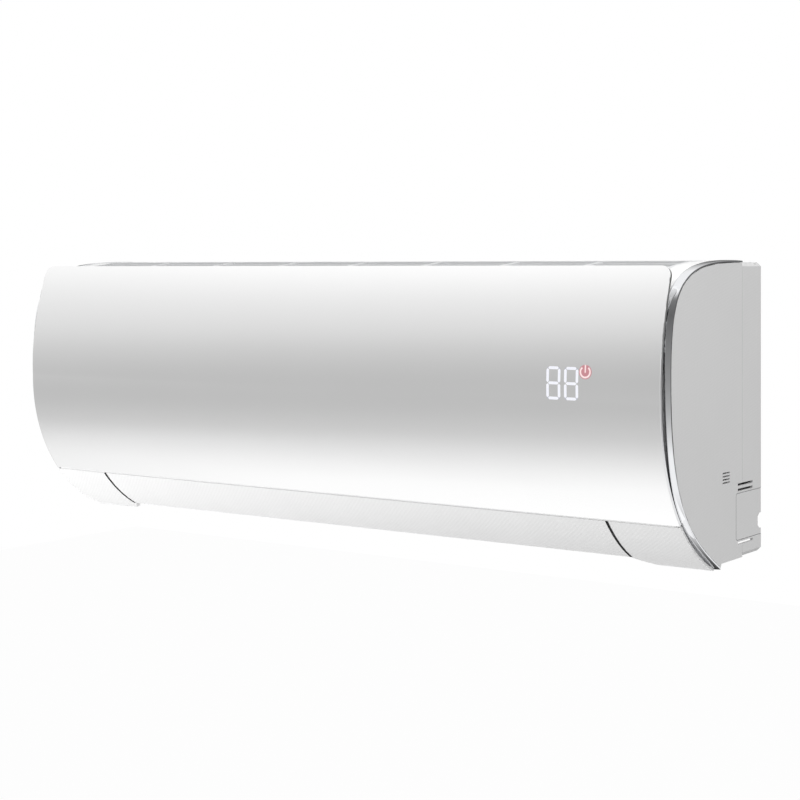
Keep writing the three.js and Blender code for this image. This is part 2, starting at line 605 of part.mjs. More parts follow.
function frontFrame() {
  const skin = prismX(band(trimArc, frameBand, frameBand + wall), -frameX, frameX);
  const ends = mirrored((side) => prismX(endRegion(frameBand),
    ...between(frameX - wall, frameX, side)));
  const grilleWindow = box(-grilleX, grilleX, grilleY, grilleBackY, apex[1], topZ + 20);
  const filterWindow = box(windowX.left, windowX.right, frontY - 20, hinge[0], windowZ.low, windowZ.high);
  const outlet = box(-frameX + wall, frameX - wall, frontY - 20, seamY - 16, tipZ - 20, panelBottomZ + 1);
  const opened = cut(skin, grilleWindow, filterWindow, outlet);
  const ledgeBand = prismX(band(trimArc, frameBand + wall - 0.4, frameBand + wall + 2.3),
    -grilleX - 4, grilleX + 4);
  const ledgeRoom = prismX(band(trimArc, 0, frameBand + wall + gap), -grilleX, grilleX);
  const ledges = [[grilleY - 3, grilleY + 4], [grilleBackY - 4, grilleBackY + 3]]
    .map(([y0, y1]) => ledgeBand.intersect(box(-halfWidth, halfWidth, y0, y1, apex[1] - 20, topZ + 20)))
    .map((ledge) => cut(ledge, ledgeRoom.intersect(grilleWindow)));
  const shelf = box(windowX.left - 3, windowX.right + 3, frontY + 13.5, panFrontY - 0.5,
    windowZ.low - 2.4, windowZ.low);
  const rails = [
    filterRail(midX - 1.5, midX + 1.5, midX - 9, midX + 9),
    filterRail(windowX.left - 2.5, windowX.left, windowX.left - 2.5, windowX.left + 8),
    filterRail(windowX.right, windowX.right + 2.5, windowX.right - 8, windowX.right + 2.5),
  ];
  const inner = filterRadius - filter.thick - filter.play;
  const bars = [157, 176, 194].map((angle) => arcStrip(inner - 3.2, inner - 0.8, angle + 0.6,
    angle - 0.6, windowX.left - 1, windowX.right + 1));
  const armSlots = mirrored((side) => {
    const [x0, x1] = between(arms.x0 - runGap, arms.x1 + runGap, side);
    return box(x0, x1, frontY + 2, hinge[0] + 8.5, hinge[1] - 16, topZ + 20);
  });
  const pinHoles = mirrored((side) => {
    const [x0, x1] = between(arms.x1 + 1, arms.x1 + 3 + wall + 1, side);
    return rodX(2.2 + gap, x0, x1, ...hinge, 10);
  });
  const pivotHoles = mirrored((side) => {
    const [x0, x1] = between(ductHalf - 1, plateX + 1, side);
    return rodX(louver.pin + gap, x0, x1, ...pivot, 12);
  });
  const sensorWindow = box(frameX - wall - 1, frameX + 1, sensor[0] - 10, sensor[0] + 10,
    sensor[1] - 7, sensor[1] + 7);
  const pipeWindows = mirrored((side) => {
    const [x0, x1] = between(frameX - wall - 1, frameX + 1, side);
    return box(x0, x1, -rear.channelDeep, seamY + 5, knockoutLow - 2, knockoutHigh + 2);
  });
  const buttonHole = rodY(button.radius + gap, frontY - 5, buttonBack, buttonX, buttonZ, 12);
  const body = join(opened, ends, ledges, shelf, rails, bars,
    mirrored(lowerEnd), mirrored(hingeBracket));
  return cut(body, armSlots, pinHoles, pivotHoles, sensorWindow, pipeWindows, buttonHole);
}

function manualButton() {
  const { radius, rim, flange } = button;
  return join(
    rodY(radius, buttonFront, buttonBack, buttonX, buttonZ, 12),
    rodY(radius + rim, buttonFlange, buttonFlange + flange, buttonX, buttonZ, 12),
  );
}

function topGrille() {
  const half = grilleX - gap;
  const [y0, y1] = [grilleY + gap, grilleBackY - gap];
  const sheet = prismX(band(trimArc, frameBand, frameBand + wall), -half, half)
    .intersect(box(-half, half, y0, y1, apex[1], topZ + 20));
  const bayWide = (2 * half) / grille.bays;
  const pitch = (y1 - y0) / grille.slots;
  const slots = [];
  for (let bay = 0; bay < grille.bays; bay += 1) {
    const x0 = -half + bay * bayWide + grille.bar;
    for (let row = 0; row < grille.slots; row += 1) {
      const y = y0 + row * pitch + grille.bar;
      slots.push(box(x0, x0 + bayWide - 2 * grille.bar, y, y + pitch - grille.bar, apex[1], topZ + 20));
    }
  }
  return cut(sheet, slots);
}

function chromeTrim(side) {
  return prismX(band(trimArc, 0, trim.thick), ...between(trimX, halfWidth, side));
}

function endCap(side) {
  const behind = trim.thick + gap;
  const face = prismX(endRegion(behind), ...between(skinX - wall, skinX, side));
  const rim = prismX(band(trimArc, behind, behind + wall), ...between(trimX, skinX, side));
  const through = between(skinX - wall - 20, skinX + 1, side);
  const window = prismX(roundedWindow(0), ...through);
  const vents = side > 0
    ? [3.5, 0.5, -2.5, -5.5].map((drop) => box(...through, sensor[0] - 8, sensor[0] + 8,
      sensor[1] + drop - 0.2, sensor[1] + drop + 1.2))
    : [];
  return cut(join(face, rim), window, sideSlots(...through), vents);
}

// ------------------------------------------------------------------ front panel and display
function frontPanel() {
  const upper = [panelTop, ...slice(panelLine, panelTop[1], panelBottomZ)];
  const shell = prismX(band(upper, 0, panel.thick), -panelX, panelX);
  const r = panel.cornerRadius;
  const face = new THREE.Shape();
  face.moveTo(-panelX, panelBottomZ - 5);
  face.lineTo(panelX, panelBottomZ - 5);
  face.lineTo(panelX, panelTop[1] - r);
  face.absarc(panelX - r, panelTop[1] - r, r, 0, Math.PI / 2, false);
  face.absarc(-panelX + r, panelTop[1] - r, r, Math.PI / 2, Math.PI, false);
  const front = prismY(face.getPoints(4).map((p) => [p.x, p.y]), frontY - 50, tip[0]);
  const [y, z] = hinge;
  const hingeArm = (side) => {
    const [x0, x1] = between(arms.x0, arms.x1, side);
    const skinY = (height) => faceY(panelLine, height) + panel.thick / 2;
    const armPlate = prismX([[skinY(z - 12), z - 12], [skinY(z + 8), z + 8], [y, z + 5], [y + 4.5, z],
      [y, z - 5]], x0, x1);
    const pin = rodX(2.2, ...between(arms.x0, arms.x1 + 7, side), y, z, 12);
    return join(armPlate, pin);
  };
  return join(shell.intersect(front), mirrored(hingeArm));
}

const display = { windowMargin: 3, wide: 58, tall: 44, drop: 28.9, step: 0.8, board: 1.3 };
const displayX = windowX.right - display.windowMargin - display.wide;
const displayLow = bellyZ - display.drop;
const displayHigh = displayLow + display.tall;
const displayY = frontY + display.step;

function displayGuide() {
  const inner = inset(slice(panelLine, displayHigh, displayLow), panel.thick + gap);
  const outline = [...inner, [displayY, displayLow], [displayY, displayHigh]];
  const block = prismX(outline, displayX, displayX + display.wide);
  const [y0, y1] = [displayY - 20, displayY + 5];
  const digits = [11, 28].map((x) => box(displayX + x, displayX + x + 14, y0, y1,
    displayLow + 6.4, displayHigh - 6.6));
  const icon = rodY(5.5, y0, y1, displayX + display.wide - 7, displayHigh - 10.7, 12);
  return cut(block, digits, icon);
}

function displayBoard() {
  const y = displayY + gap;
  const board = box(displayX, displayX + display.wide, y, y + display.board, displayLow, displayHigh);
  const plug = box(displayX + 6, displayX + 18, y + 1, y + 3, displayLow + 2, displayLow + 8);
  return join(board, plug);
}

// ------------------------------------------------------------------ louver and its drive
function louverBlade() {
  const bottom = slice(panelLine, louverTopZ, louverEnd[1]);
  const blade = prismX(band(bottom, 0, louver.thick), -louverX, louverX);
  const [y, z] = pivot;
  const arm = (side) => {
    const [x0, x1] = between(louverX - 8, louverX, side);
    const web = prismX([[y - 15, z + 5], [y + 2, z - 8], [y + 5, z], [y - 1, z + 6]], x0, x1);
    const pin = rodX(louver.pin, ...between(louverX - 8, plateX + 5, side), y, z, 12);
    return join(web, rodX(5.5, x0, x1, y, z, 12), pin);
  };
  return join(blade, mirrored(arm));
}

const stepper = { radius: 12, eccentric: 8.4, long: 17 };

function louverMotor() {
  const [y, z] = shift(pivot, 0.62 * stepper.eccentric, 0.785 * stepper.eccentric);
  const x0 = plateX + gap;
  const can = rodX(stepper.radius, x0, x0 + stepper.long, y, z, 16);
  const gearHead = rodX(4.5, x0, x0 + 7, ...pivot, 14);
  const socket = rodX(louver.pin + gap, x0 - 1, x0 + 6, ...pivot, 12);
  return cut(join(can, gearHead), socket);
}

function louverBush() {
  const x0 = plateX + gap;
  const [a, b] = between(x0, x0 + 7, -1);
  const [c, d] = between(x0 - 1, x0 + 6, -1);
  return cut(rodX(4.5, a, b, ...pivot, 14), rodX(louver.pin + gap, c, d, ...pivot, 12));
}

// ------------------------------------------------------------------ air vanes
function ductPoint(run, across) {
  return [ductTop[0] + ductRun.x * run + ductAcross.x * across,
    ductTop[1] + ductRun.y * run + ductAcross.y * across];
}

function alongDuct(x, run, across) {
  const [y, z] = ductPoint(run, across);
  return new THREE.Matrix4().makeBasis(
    new THREE.Vector3(0, ductRun.x, ductRun.y),
    new THREE.Vector3(0, ductAcross.x, ductAcross.y),
    new THREE.Vector3(1, 0, 0),
  ).setPosition(x, y, z);
}

// Local frame of a vane: u runs down the duct from its pivot, v across the duct.
function ductPrism(points, x, thick) {
  const shape = extrude(points, thick).translate(0, 0, -thick / 2);
  return solid(shape.applyMatrix4(alongDuct(x, vane.inset, 0)));
}

function ductPin(radius, x, u, v0, v1, sides = 6) {
  const shape = new THREE.CylinderGeometry(radius, radius, v1 - v0, sides);
  return solid(shape.translate(u, (v0 + v1) / 2, 0).applyMatrix4(alongDuct(x, vane.inset, 0)));
}

const vanePitch = ductHalf / vane.each;

function vaneX(side, index) {
  return side * (index + 0.5) * vanePitch;
}

function vaneBlade(x) {
  const { tall, chord, crank, pin } = vane;
  const trailing = chord - 4;
  const blade = ductPrism([[-4, 1], [trailing, 1.5], [trailing - 1, 12], [trailing - 6, 45],
    [crank + 3, tall], [-2, tall], [-6, 46], [-5.5, 20]], x, vane.thick);
  return join(blade, ductPin(pin, x, 0, -5, 3), ductPin(1.3, x, crank, tall - 3, tall + 2.6));
}

function vaneLink(side) {
  const first = Math.min(vaneX(side, 0), vaneX(side, vane.each - 1));
  const last = Math.max(vaneX(side, 0), vaneX(side, vane.each - 1));
  const [v0, v1] = [vane.tall + gap, vane.tall + 2.3];
  const [u0, u1] = [vane.crank - 3, vane.crank + 3];
  const bar = ductPrism([[u0, v0], [u1, v0], [u1, v1], [u0, v1]], (first + last) / 2,
    last - first + 12);
  const holes = [];
  for (let i = 0; i < vane.each; i += 1) {
    holes.push(ductPin(1.3 + gap, vaneX(side, i), vane.crank, v0 - 1, v1 + 1));
  }
  return cut(bar, holes);
}

// ------------------------------------------------------------------ drain pan
const spigot = { radius: 6.2, bore: 4.4, long: 17 };
const spigotAt = [(panFrontY + troughY) / 2, coilLow + 1.8];

function drainPan() {
  const body = prismX(panOutline, -plateX, plateX);
  const dams = mirrored((side) => prismX(
    [[panFrontY + 1, coilLow + 8], [panFrontY + 1, coilLow - 5], [troughY + 1, coilLow - 6.5],
      [troughY + 2, coilLow + 6.5]],
    ...between(ductHalf, plateX, side)));
  const spouts = mirrored((side) => rodX(spigot.radius,
    ...between(plateX - 1, plateX + spigot.long, side), ...spigotAt, 12));
  const bores = mirrored((side) => rodX(spigot.bore,
    ...between(ductHalf - 3, plateX + spigot.long + 1, side), ...spigotAt, 12));
  const pivots = mirrored((side) => Array.from({ length: vane.each }, (_, i) =>
    ductPin(vane.pin + gap, vaneX(side, i), 0, -5.5, 2)));
  return cut(join(body, dams, spouts), bores, pivots.flat());
}

function drainPlug() {
  const x = plateX + spigot.long + gap;
  const [a, b] = between(x, x + 3, -1);
  const [c, d] = between(x - 9, x + 1, -1);
  return join(rodX(spigot.radius, a, b, ...spigotAt, 12),
    rodX(spigot.bore - gap, c, d, ...spigotAt, 12));
}

// ------------------------------------------------------------------ coil
const coilX = ductHalf - 5;
const sheetX = coilX + gap;
const sheetThick = 1.5;

const finPack = {
  front_lower: [[knee[0], coilLow], [kneeInner[0], coilLow],
    shift(kneeInner, 0, -gap), shift(knee, 0, -gap)],
  front_upper: [shift(knee, gap, gap), shift(kneeInner, gap, gap),
    shift(apexInner, -gap, -gap), shift(apex, -gap, -gap)],
  rear: [shift(apex, gap, -gap), shift(apexInner, gap, -gap), tailInner, tail],
};

// Fin pack with the gaps between fins cut into its outer face, each gap standing for several.
function coilSlab(outline, faceFrom, faceTo) {
  const groups = 16;
  const pitch = (2 * coilX) / groups;
  const [dy, dz] = [faceTo[0] - faceFrom[0], faceTo[1] - faceFrom[1]];
  const length = Math.hypot(dy, dz);
  const [ny, nz] = [-dz / length, dy / length];
  const deep = 4;
  const groove = [
    shift(faceFrom, -dy - ny, -dz - nz), shift(faceTo, dy - ny, dz - nz),
    shift(faceTo, dy + ny * deep, dz + nz * deep), shift(faceFrom, -dy + ny * deep, -dz + nz * deep),
  ];
  const grooves = [];
  for (let i = 1; i < groups; i += 1) {
    const x = -coilX + i * pitch;
    grooves.push(prismX(groove, x - 2, x + 2));
  }
  return cut(prismX(outline, -coilX, coilX), grooves);
}

function bend(side, from, to) {
  const [x0, x1] = [side * (sheetX + 0.5), side * (sheetX + 9)];
  const mid = [(from[0] + to[0]) / 2, (from[1] + to[1]) / 2];
  const radius = Math.hypot(to[0] - from[0], to[1] - from[1]) / 2;
  const points = [[x0, ...from], [x1, ...from]];
  for (const angle of [45, 90, 135]) {
    const a = THREE.MathUtils.degToRad(angle);
    const [c, s] = [Math.cos(a), Math.sin(a)];
    points.push([x1 + side * radius * s, mid[0] + (from[0] - mid[0]) * c,
      mid[1] + (from[1] - mid[1]) * c]);
  }
  points.push([x1, ...to], [x0, ...to]);
  const path = new THREE.CatmullRomCurve3(points.map((p) => new THREE.Vector3(...p)));
  return tube(3.5, path, 7, 2);
}

function tubeSheet(side) {
  const outline = [
    [knee[0] + 1, coilLow], [kneeInner[0] - 1, coilLow],
    shift(kneeInner, -1, 0), shift(apexInner, 0, 1.4), shift(tailInner, 0, 1), shift(tail, -1, -0.4),
    shift(apex, 0, -1.4), shift(knee, 1, 0),
  ];
  const sheet = prismX(outline, ...between(sheetX, sheetX + sheetThick, side));
  const midZ = (coilLow + knee[1]) / 2;
  const foot = box(...between(sheetX, ductHalf - gap, side), kneeInner[0] - 4, kneeInner[0] + 10,
    midZ - 4, midZ + 16);
  const midY = (knee[0] + kneeInner[0]) / 2;
  const rise = (knee[1] - coilLow) / 4;
  const rows = [1, 2, 3].map((i) => [[midY - 5, coilLow + i * rise], [midY + 5, coilLow + i * rise + 10]]);
  for (const share of [0.22, 0.48, 0.74]) {
    const y = knee[0] + share * archRun + (coil.thick / 2) * Math.SQRT1_2;
    const z = knee[1] + share * archRun - (coil.thick / 2) * Math.SQRT1_2;
    rows.push([[y - 6, z - 2], [y + 6, z + 6]]);
  }
  rows.push([shift(apex, 18, -44), shift(apex, 26, -56)]);
  const bends = rows.map(([a, b]) => bend(side, a, b));
  return join(sheet, foot, side < 0 ? bends : bends.filter((_, i) => i % 2 === 0 && i < 6));
}

// ------------------------------------------------------------------ refrigerant pipes
function pipeRoute({ y, z, end, start, fall }) {
  const points = [
    [sheetX + sheetThick + gap, ...start], [pipeX - 4, ...start],
    [pipeX, start[0] + 5, start[1] - 6], [pipeX, y, start[1] - fall],
    [pipeX, y, fanZ + 8], [pipeX, y, fanZ - 22], [pipeX, y, z + 16],
    [pipeX - 4, y, z + 4], [pipeX - 16, y, z], [pipeX - 60, y, z], [end, y, z],
  ];
  return new THREE.CatmullRomCurve3(points.map((p) => new THREE.Vector3(...p)), false, 'centripetal');
}

function pipe(run) {
  const path = pipeRoute(run);
  const bore = rodX(run.radius - pipes.wall, run.end - 1, run.end + 12, run.y, run.z, 8);
  return cut(tube(run.radius, path, 20, 3), bore);
}

function flareNut(run) {
  const hexagon = rodX(run.nut, run.end - 10, run.end + 8, run.y, run.z, 6);
  const bore = rodX(run.radius + gap, run.end - 11, run.end + 9, run.y, run.z, 10);
  return cut(hexagon, bore);
}

function pipeHolder() {
  const body = box(40, 64, runs.liquid.y - 5.2, runs.gas.y + 6, runs.liquid.z - 8,
    channelTop - wall - gap);
  const holes = [runs.gas, runs.liquid].map((run) =>
    rodX(run.radius + gap, 39, 65, run.y, run.z, 10));
  return cut(body, holes);
}

// ------------------------------------------------------------------ fan, bearing and motor
function crossFlowFan() {
  const { radius, blades, cells } = fan;
  const root = radius * 0.77;
  const bladeAt = (turn) => {
    const line = [0, 1].map((t) => {
      const r = root + (radius - 1 - root) * t;
      const angle = turn + 0.24 * t;
      return [fanY + r * Math.cos(angle), fanZ + r * Math.sin(angle)];
    });
    return prismX(band(line, -0.7, 0.7), -fanX, fanX);
  };
  const wheelBlades = Array.from({ length: blades }, (_, i) => bladeAt((2 * Math.PI * i) / blades));
  const discs = [];
  for (let i = 1; i < cells; i += 1) {
    const x = -fanX + (i * 2 * fanX) / cells;
    discs.push(cut(rodX(radius, x - 1.2, x + 1.2, fanY, fanZ, blades),
      rodX(root - 1.5, x - 2, x + 2, fanY, fanZ, blades)));
  }
  const leftEnd = rodX(radius, -fanX - 0.01, -fanX + 3, fanY, fanZ, blades);
  const rightEnd = rodX(radius, fanX - 3, fanX + 0.01, fanY, fanZ, blades);
  const hub = rodX(11, fanX - 18, fanX, fanY, fanZ, 12);
  const stub = rodX(fan.shaft, -plateX - 5, -fanX + 1, fanY, fanZ, 12);
  const bore = rodX(fan.shaft + gap, fanX - 16, fanX + 1, fanY, fanZ, 12);
  return cut(join(leftEnd, rightEnd, hub, stub, discs, wheelBlades), bore);
}

function fanBearing() {
  const bore = fan.shaft + gap;
  const { radius, long } = bearing;
  const ring = turnX([[bore, 0], [radius, 0], [radius, long - 2], [radius - 4, long], [bore, long],
    [bore, 0]], fanY, fanZ, 16);
  return ring.translate([-plateX - 4, 0, 0]);
}

function motorShaft() {
  return rodX(fan.shaft, fanX - 15, motorX + 20, fanY, fanZ, 12);
}

function fanMotor() {
  const r = motor.radius;
  const end = motorX + motor.long;
  const bore = fan.shaft + gap;
  return turnX([[bore, motorX], [11, motorX], [11, motorX + 4], [r - 3, motorX + 4], [r, motorX + 7],
    [r, end - 7], [r - 6, end - 3], [10, end - 3], [10, end], [0, end], [0, motorX + 22],
    [bore, motorX + 22], [bore, motorX]], fanY, fanZ, 16);
}

function motorClamp() {
  const inner = motorSeat;
  const outer = inner + 2.5;
  const [x0, x1] = [motorX + 6, motorX + motor.long - 7];
  const ring = cut(rodX(outer, x0, x1, fanY, fanZ, 24), rodX(inner, x0 - 1, x1 + 1, fanY, fanZ, 24),
    box(x0 - 1, x1 + 1, fanY - gap, fanY + 2 * outer, fanZ - 2 * outer, fanZ + 2 * outer));
  const ears = mirrored((side) => {
    const [z0, z1] = between(inner + 0.5, inner + 8, side);
    return box(x0, x1, fanY - gap - 2.5, fanY - gap, fanZ + z0, fanZ + z1);
  });
  return join(ring, ears);
}

// ------------------------------------------------------------------ electrical box
const trayRight = frameX - tray.endGap;
const trayLeft = trayRight - tray.wide;
const trayFront = frontY + tray.frontStep;
const trayBack = fanY - motor.radius - tray.motorGap;
const trayLow = tipZ + tray.rise;
const trayHigh = topZ - tray.drop;

function controlBox() {
  const { thick } = tray;
  const outer = box(trayLeft, trayRight, trayFront, trayBack, trayLow, trayHigh);
  const inner = box(trayLeft + thick, trayRight + 1, trayFront + thick, trayBack - thick,
    trayLow + thick, trayHigh - thick);
  const arms = [8, 56].map((drop) => box(trayLeft + 4, trayLeft + 26, trayBack - 1,
    -rear.backWall - wall - gap, trayHigh - drop, trayHigh - drop + thick));
  const posts = [trayLow + 14, trayHigh - 14].flatMap((z) => [trayFront + 8, trayBack - 8].map((y) =>
    rodX(2.5, trayLeft + 1, trayLeft + thick + 4, y, z, 8)));
  return join(cut(outer, inner), arms, posts);
}

function mainBoard() {
  const x = trayLeft + tray.thick + 4 + gap;
  const [y0, y1] = [trayFront + 4, trayBack - 4];
  const board = box(x, x + 1.6, y0, y1, trayLow + 6, trayHigh - 6);
  const capacitor = rodX(8, x + 1, x + 24, y0 + 14, trayLow + 26, 12);
  const relay = box(x + 1, x + 17, y1 - 17, y1 - 3, trayLow + 14, trayLow + 34);
  const transformer = box(x + 1, x + 20, y0 + 6, y0 + 26, trayHigh - 44, trayHigh - 20);
  const plug = box(x + 1, x + 9, y1 - 12, y1 - 4, trayHigh - 40, trayHigh - 18);
  return join(board, capacitor, relay, transformer, plug);
}

function controlBoxCover() {
  const x = trayRight + gap;
  return box(x, x + 1.5, trayFront, trayBack, trayLow, trayHigh);
}

function terminalBlock() {
  const top = trayLow - gap;
  const [x, y] = [trayLeft + 6, trayFront + 6];
  const body = box(x, x + 32, y, y + 20, top - 18, top);
  const cells = [0, 1, 2, 3].map((i) =>
    box(x + 2 + i * 7.4, x + 7.6 + i * 7.4, y - 1, y + 12, top - 15, top - 6));
  return cut(body, cells);
}

function roomSensor() {
  const x = frameX - wall - gap;
  const [y, z] = sensor;
  const clip = cut(box(x - 1.8, x, y - 14, y + 14, z - 11, z + 11),
    box(x - 3, x + 1, y - 8, y + 8, z - 7, z + 7));
  const bead = new THREE.CapsuleGeometry(2.4, 14, 3, 8);
  return join(clip, solid(bead.translate(x - 1, y, z)));
}

// ------------------------------------------------------------------ air filters
function airFilter(x0, x1) {
  const outer = filterRadius;
  const inner = outer - filter.thick;
  const mid = (outer + inner) / 2;
  const { topAngle } = filter;
  const edge = 5;                                      // side rails and the middle one
  const rung = 2.4;                                    // cross rails, in degrees
  const bay = (x1 - x0 - 3 * edge) / 2;
  const pitch = (filterLow - topAngle - rung) / 3;
  const frame = arcStrip(inner, outer, filterLow, topAngle, x0, x1);
  const windows = [0, 1].flatMap((column) => [0, 1, 2].flatMap((row) => {
    const left = x0 + edge + column * (bay + edge);
    const from = filterLow - rung - row * pitch;
    const to = from - pitch + rung;
    return [arcStrip(inner - 1, mid - 0.5, from, to, left, left + bay),
      arcStrip(mid + 0.5, outer + 1, from, to, left, left + bay)];
  }));
  const tabX = (x0 + x1) / 2;
  const tab = arcStrip(outer - 1, outer + 3.2, filterLow - 1.5, filterLow - 3,
    tabX - 16, tabX + 16);
  return join(cut(frame, windows), tab);
}

// ------------------------------------------------------------------ assembly
const unit = new THREE.Group();
unit.name = 'mini_split_indoor_unit';

function addPart(parent, name, body, material) {
  const { vertProperties, triVerts } = body.getMesh();
  const shape = new THREE.BufferGeometry();
  shape.setAttribute('position', new THREE.BufferAttribute(new Float32Array(vertProperties), 3));
  shape.setIndex(new THREE.BufferAttribute(new Uint32Array(triVerts), 1));
  shape.computeVertexNormals();
  const mesh = new THREE.Mesh(shape, material);
  mesh.name = name;
  parent.add(mesh);
}

function group() {
  const set = new THREE.Group();
  unit.add(set);
  return set;
}

const casing = group();
addPart(casing, 'wall_mounting_plate', wallPlate(), galvanised);
addPart(casing, 'rear_chassis', rearChassis(), housing);
addPart(casing, 'front_frame', frontFrame(), satinWhite);
addPart(casing, 'top_intake_grille', topGrille(), satinWhite);
for (const [name, side] of [['right', 1], ['left', -1]]) {
  addPart(casing, `${name}_end_cap`, endCap(side), housing);
  addPart(casing, `${name}_chrome_trim`, chromeTrim(side), chrome);
  addPart(casing, `${name}_knockout_cover`, knockoutCover(side), housing);
}

const frontPanelSet = group();
addPart(frontPanelSet, 'front_panel', frontPanel(), pearl);
addPart(frontPanelSet, 'display_light_guide', displayGuide(), darkPlastic);
addPart(frontPanelSet, 'display_board', displayBoard(), boardGreen);

const louverSet = group();
addPart(louverSet, 'louver', louverBlade(), satinWhite);
addPart(louverSet, 'louver_motor', louverMotor(), galvanised);
addPart(louverSet, 'louver_bush', louverBush(), whitePlastic);

const ductSet = group();
addPart(ductSet, 'drain_pan', drainPan(), whitePlastic);
addPart(ductSet, 'drain_plug', drainPlug(), rubber);
for (const [name, side] of [['right', 1], ['left', -1]]) {
  for (let i = 0; i < vane.each; i += 1) {
    addPart(ductSet, `${name}_vane_${i + 1}`, vaneBlade(vaneX(side, i)), whitePlastic);
  }
  addPart(ductSet, `${name}_vane_link`, vaneLink(side), whitePlastic);
}

const fanSet = group();
addPart(fanSet, 'cross_flow_fan', crossFlowFan(), darkPlastic);
addPart(fanSet, 'fan_bearing', fanBearing(), rubber);
addPart(fanSet, 'motor_shaft', motorShaft(), steel);
addPart(fanSet, 'fan_motor', fanMotor(), whitePlastic);
addPart(fanSet, 'motor_clamp', motorClamp(), housing);

const coolingSet = group();
addPart(coolingSet, 'coil_front_lower', coilSlab(finPack.front_lower, knee,
  [knee[0], coilLow]), aluminium);
addPart(coolingSet, 'coil_front_upper', coilSlab(finPack.front_upper, apex, knee), aluminium);
addPart(coolingSet, 'coil_rear', coilSlab(finPack.rear, tail, apex), aluminium);
addPart(coolingSet, 'right_tube_sheet', tubeSheet(1), copper);
addPart(coolingSet, 'left_tube_sheet', tubeSheet(-1), copper);
addPart(coolingSet, 'gas_pipe', pipe(runs.gas), copper);
addPart(coolingSet, 'liquid_pipe', pipe(runs.liquid), copper);
addPart(coolingSet, 'gas_flare_nut', flareNut(runs.gas), brass);
addPart(coolingSet, 'liquid_flare_nut', flareNut(runs.liquid), brass);
addPart(coolingSet, 'pipe_holder', pipeHolder(), whitePlastic);

const controlSet = group();
addPart(controlSet, 'control_box', controlBox(), galvanised);
addPart(controlSet, 'control_box_cover', controlBoxCover(), galvanised);
addPart(controlSet, 'main_board', mainBoard(), boardGreen);
addPart(controlSet, 'terminal_block', terminalBlock(), darkPlastic);
addPart(controlSet, 'room_sensor', roomSensor(), whitePlastic);
addPart(controlSet, 'manual_button', manualButton(), whitePlastic);

const filterSet = group();
addPart(filterSet, 'right_air_filter', airFilter(midX + 1.5 + gap, windowX.right - gap), meshGrey);
addPart(filterSet, 'left_air_filter', airFilter(windowX.left + gap, midX - 1.5 - gap), meshGrey);

export default unit;
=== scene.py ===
"""Looks of a wall-mounted split air conditioner's indoor unit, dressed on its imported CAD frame."""

import logging
import math
from dataclasses import dataclass, field
from enum import Enum

import bpy
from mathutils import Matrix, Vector


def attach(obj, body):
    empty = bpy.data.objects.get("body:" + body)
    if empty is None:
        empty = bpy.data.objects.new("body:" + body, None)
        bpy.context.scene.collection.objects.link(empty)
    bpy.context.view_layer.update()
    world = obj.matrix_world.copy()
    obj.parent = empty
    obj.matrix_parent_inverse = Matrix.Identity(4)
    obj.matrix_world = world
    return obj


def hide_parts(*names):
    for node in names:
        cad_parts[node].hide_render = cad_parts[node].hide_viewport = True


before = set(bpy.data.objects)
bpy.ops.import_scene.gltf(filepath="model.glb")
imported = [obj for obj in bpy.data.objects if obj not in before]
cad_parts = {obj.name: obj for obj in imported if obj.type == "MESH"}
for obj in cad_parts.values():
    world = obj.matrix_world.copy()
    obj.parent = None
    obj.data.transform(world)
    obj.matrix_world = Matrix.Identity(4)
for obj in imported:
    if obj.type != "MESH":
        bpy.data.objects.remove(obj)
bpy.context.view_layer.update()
LOG = logging.getLogger("indoor_unit")
MM = 0.001
WAVES_PER_METRE = 20 / math.tau    # bands of a wave texture at a scale of 1

Point = tuple[float, float]
Line = list[Point]
Levels = tuple[tuple[float, float], ...]


class Side(Enum):
    """An end of the unit, seen from the room."""

    RIGHT = 1
    LEFT = -1


class Grain(Enum):
    """How a surface was made, which sets the pattern its shader draws."""

    MOULDED = "moulded"
    DIAGONAL_TWILL = "diagonal twill"
    PEARL_FLAKE = "pearl flake"
    PLATED = "plated"
    SPANGLED = "spangled"
    FINNED = "finned"
    DRAWN = "drawn"
    NETTED = "netted"
    PRINTED_BOARD = "printed board"


def linear(hex_code: str) -> tuple[float, float, float, float]:
    """Turns an sRGB hex colour into a linear one.

    Args:
        hex_code: Six hex digits, such as "d5d6d8".

    Returns:
        Linear red, green, blue and an alpha of 1.
    """
    values = [int(hex_code[i:i + 2], 16) / 255 for i in (0, 2, 4)]
    turned = [v / 12.92 if v <= 0.04045 else ((v + 0.055) / 1.055) ** 2.4 for v in values]
    return (turned[0], turned[1], turned[2], 1.0)


def add_node(
    tree: bpy.types.NodeTree,
    kind: str,
    settings: dict[str | int, object] | None = None,
    links: dict[str | int, bpy.types.NodeSocket] | None = None,
) -> bpy.types.Node:
    """Adds one node with its settings and links.

    Args:
        tree: The node tree it goes into.
        kind: Blender's name for the kind of node.
        settings: Values by input name or number, or by attribute of the node.
        links: Output sockets by the input they feed.

    Returns:
        The new node.
    """
    node = tree.nodes.new(kind)
    for name, value in (settings or {}).items():
        if isinstance(name, int) or name in node.inputs:
            node.inputs[name].default_value = value
        else:
            setattr(node, name, value)
    for name, socket in (links or {}).items():
        tree.links.new(socket, node.inputs[name])
    return node


def blank_material(name: str) -> tuple[bpy.types.Material, bpy.types.NodeTree]:
    """Returns a new material and its emptied node tree."""
    made = bpy.data.materials.new(name)
    made.use_nodes = True
    made.node_tree.nodes.clear()
    return made, made.node_tree


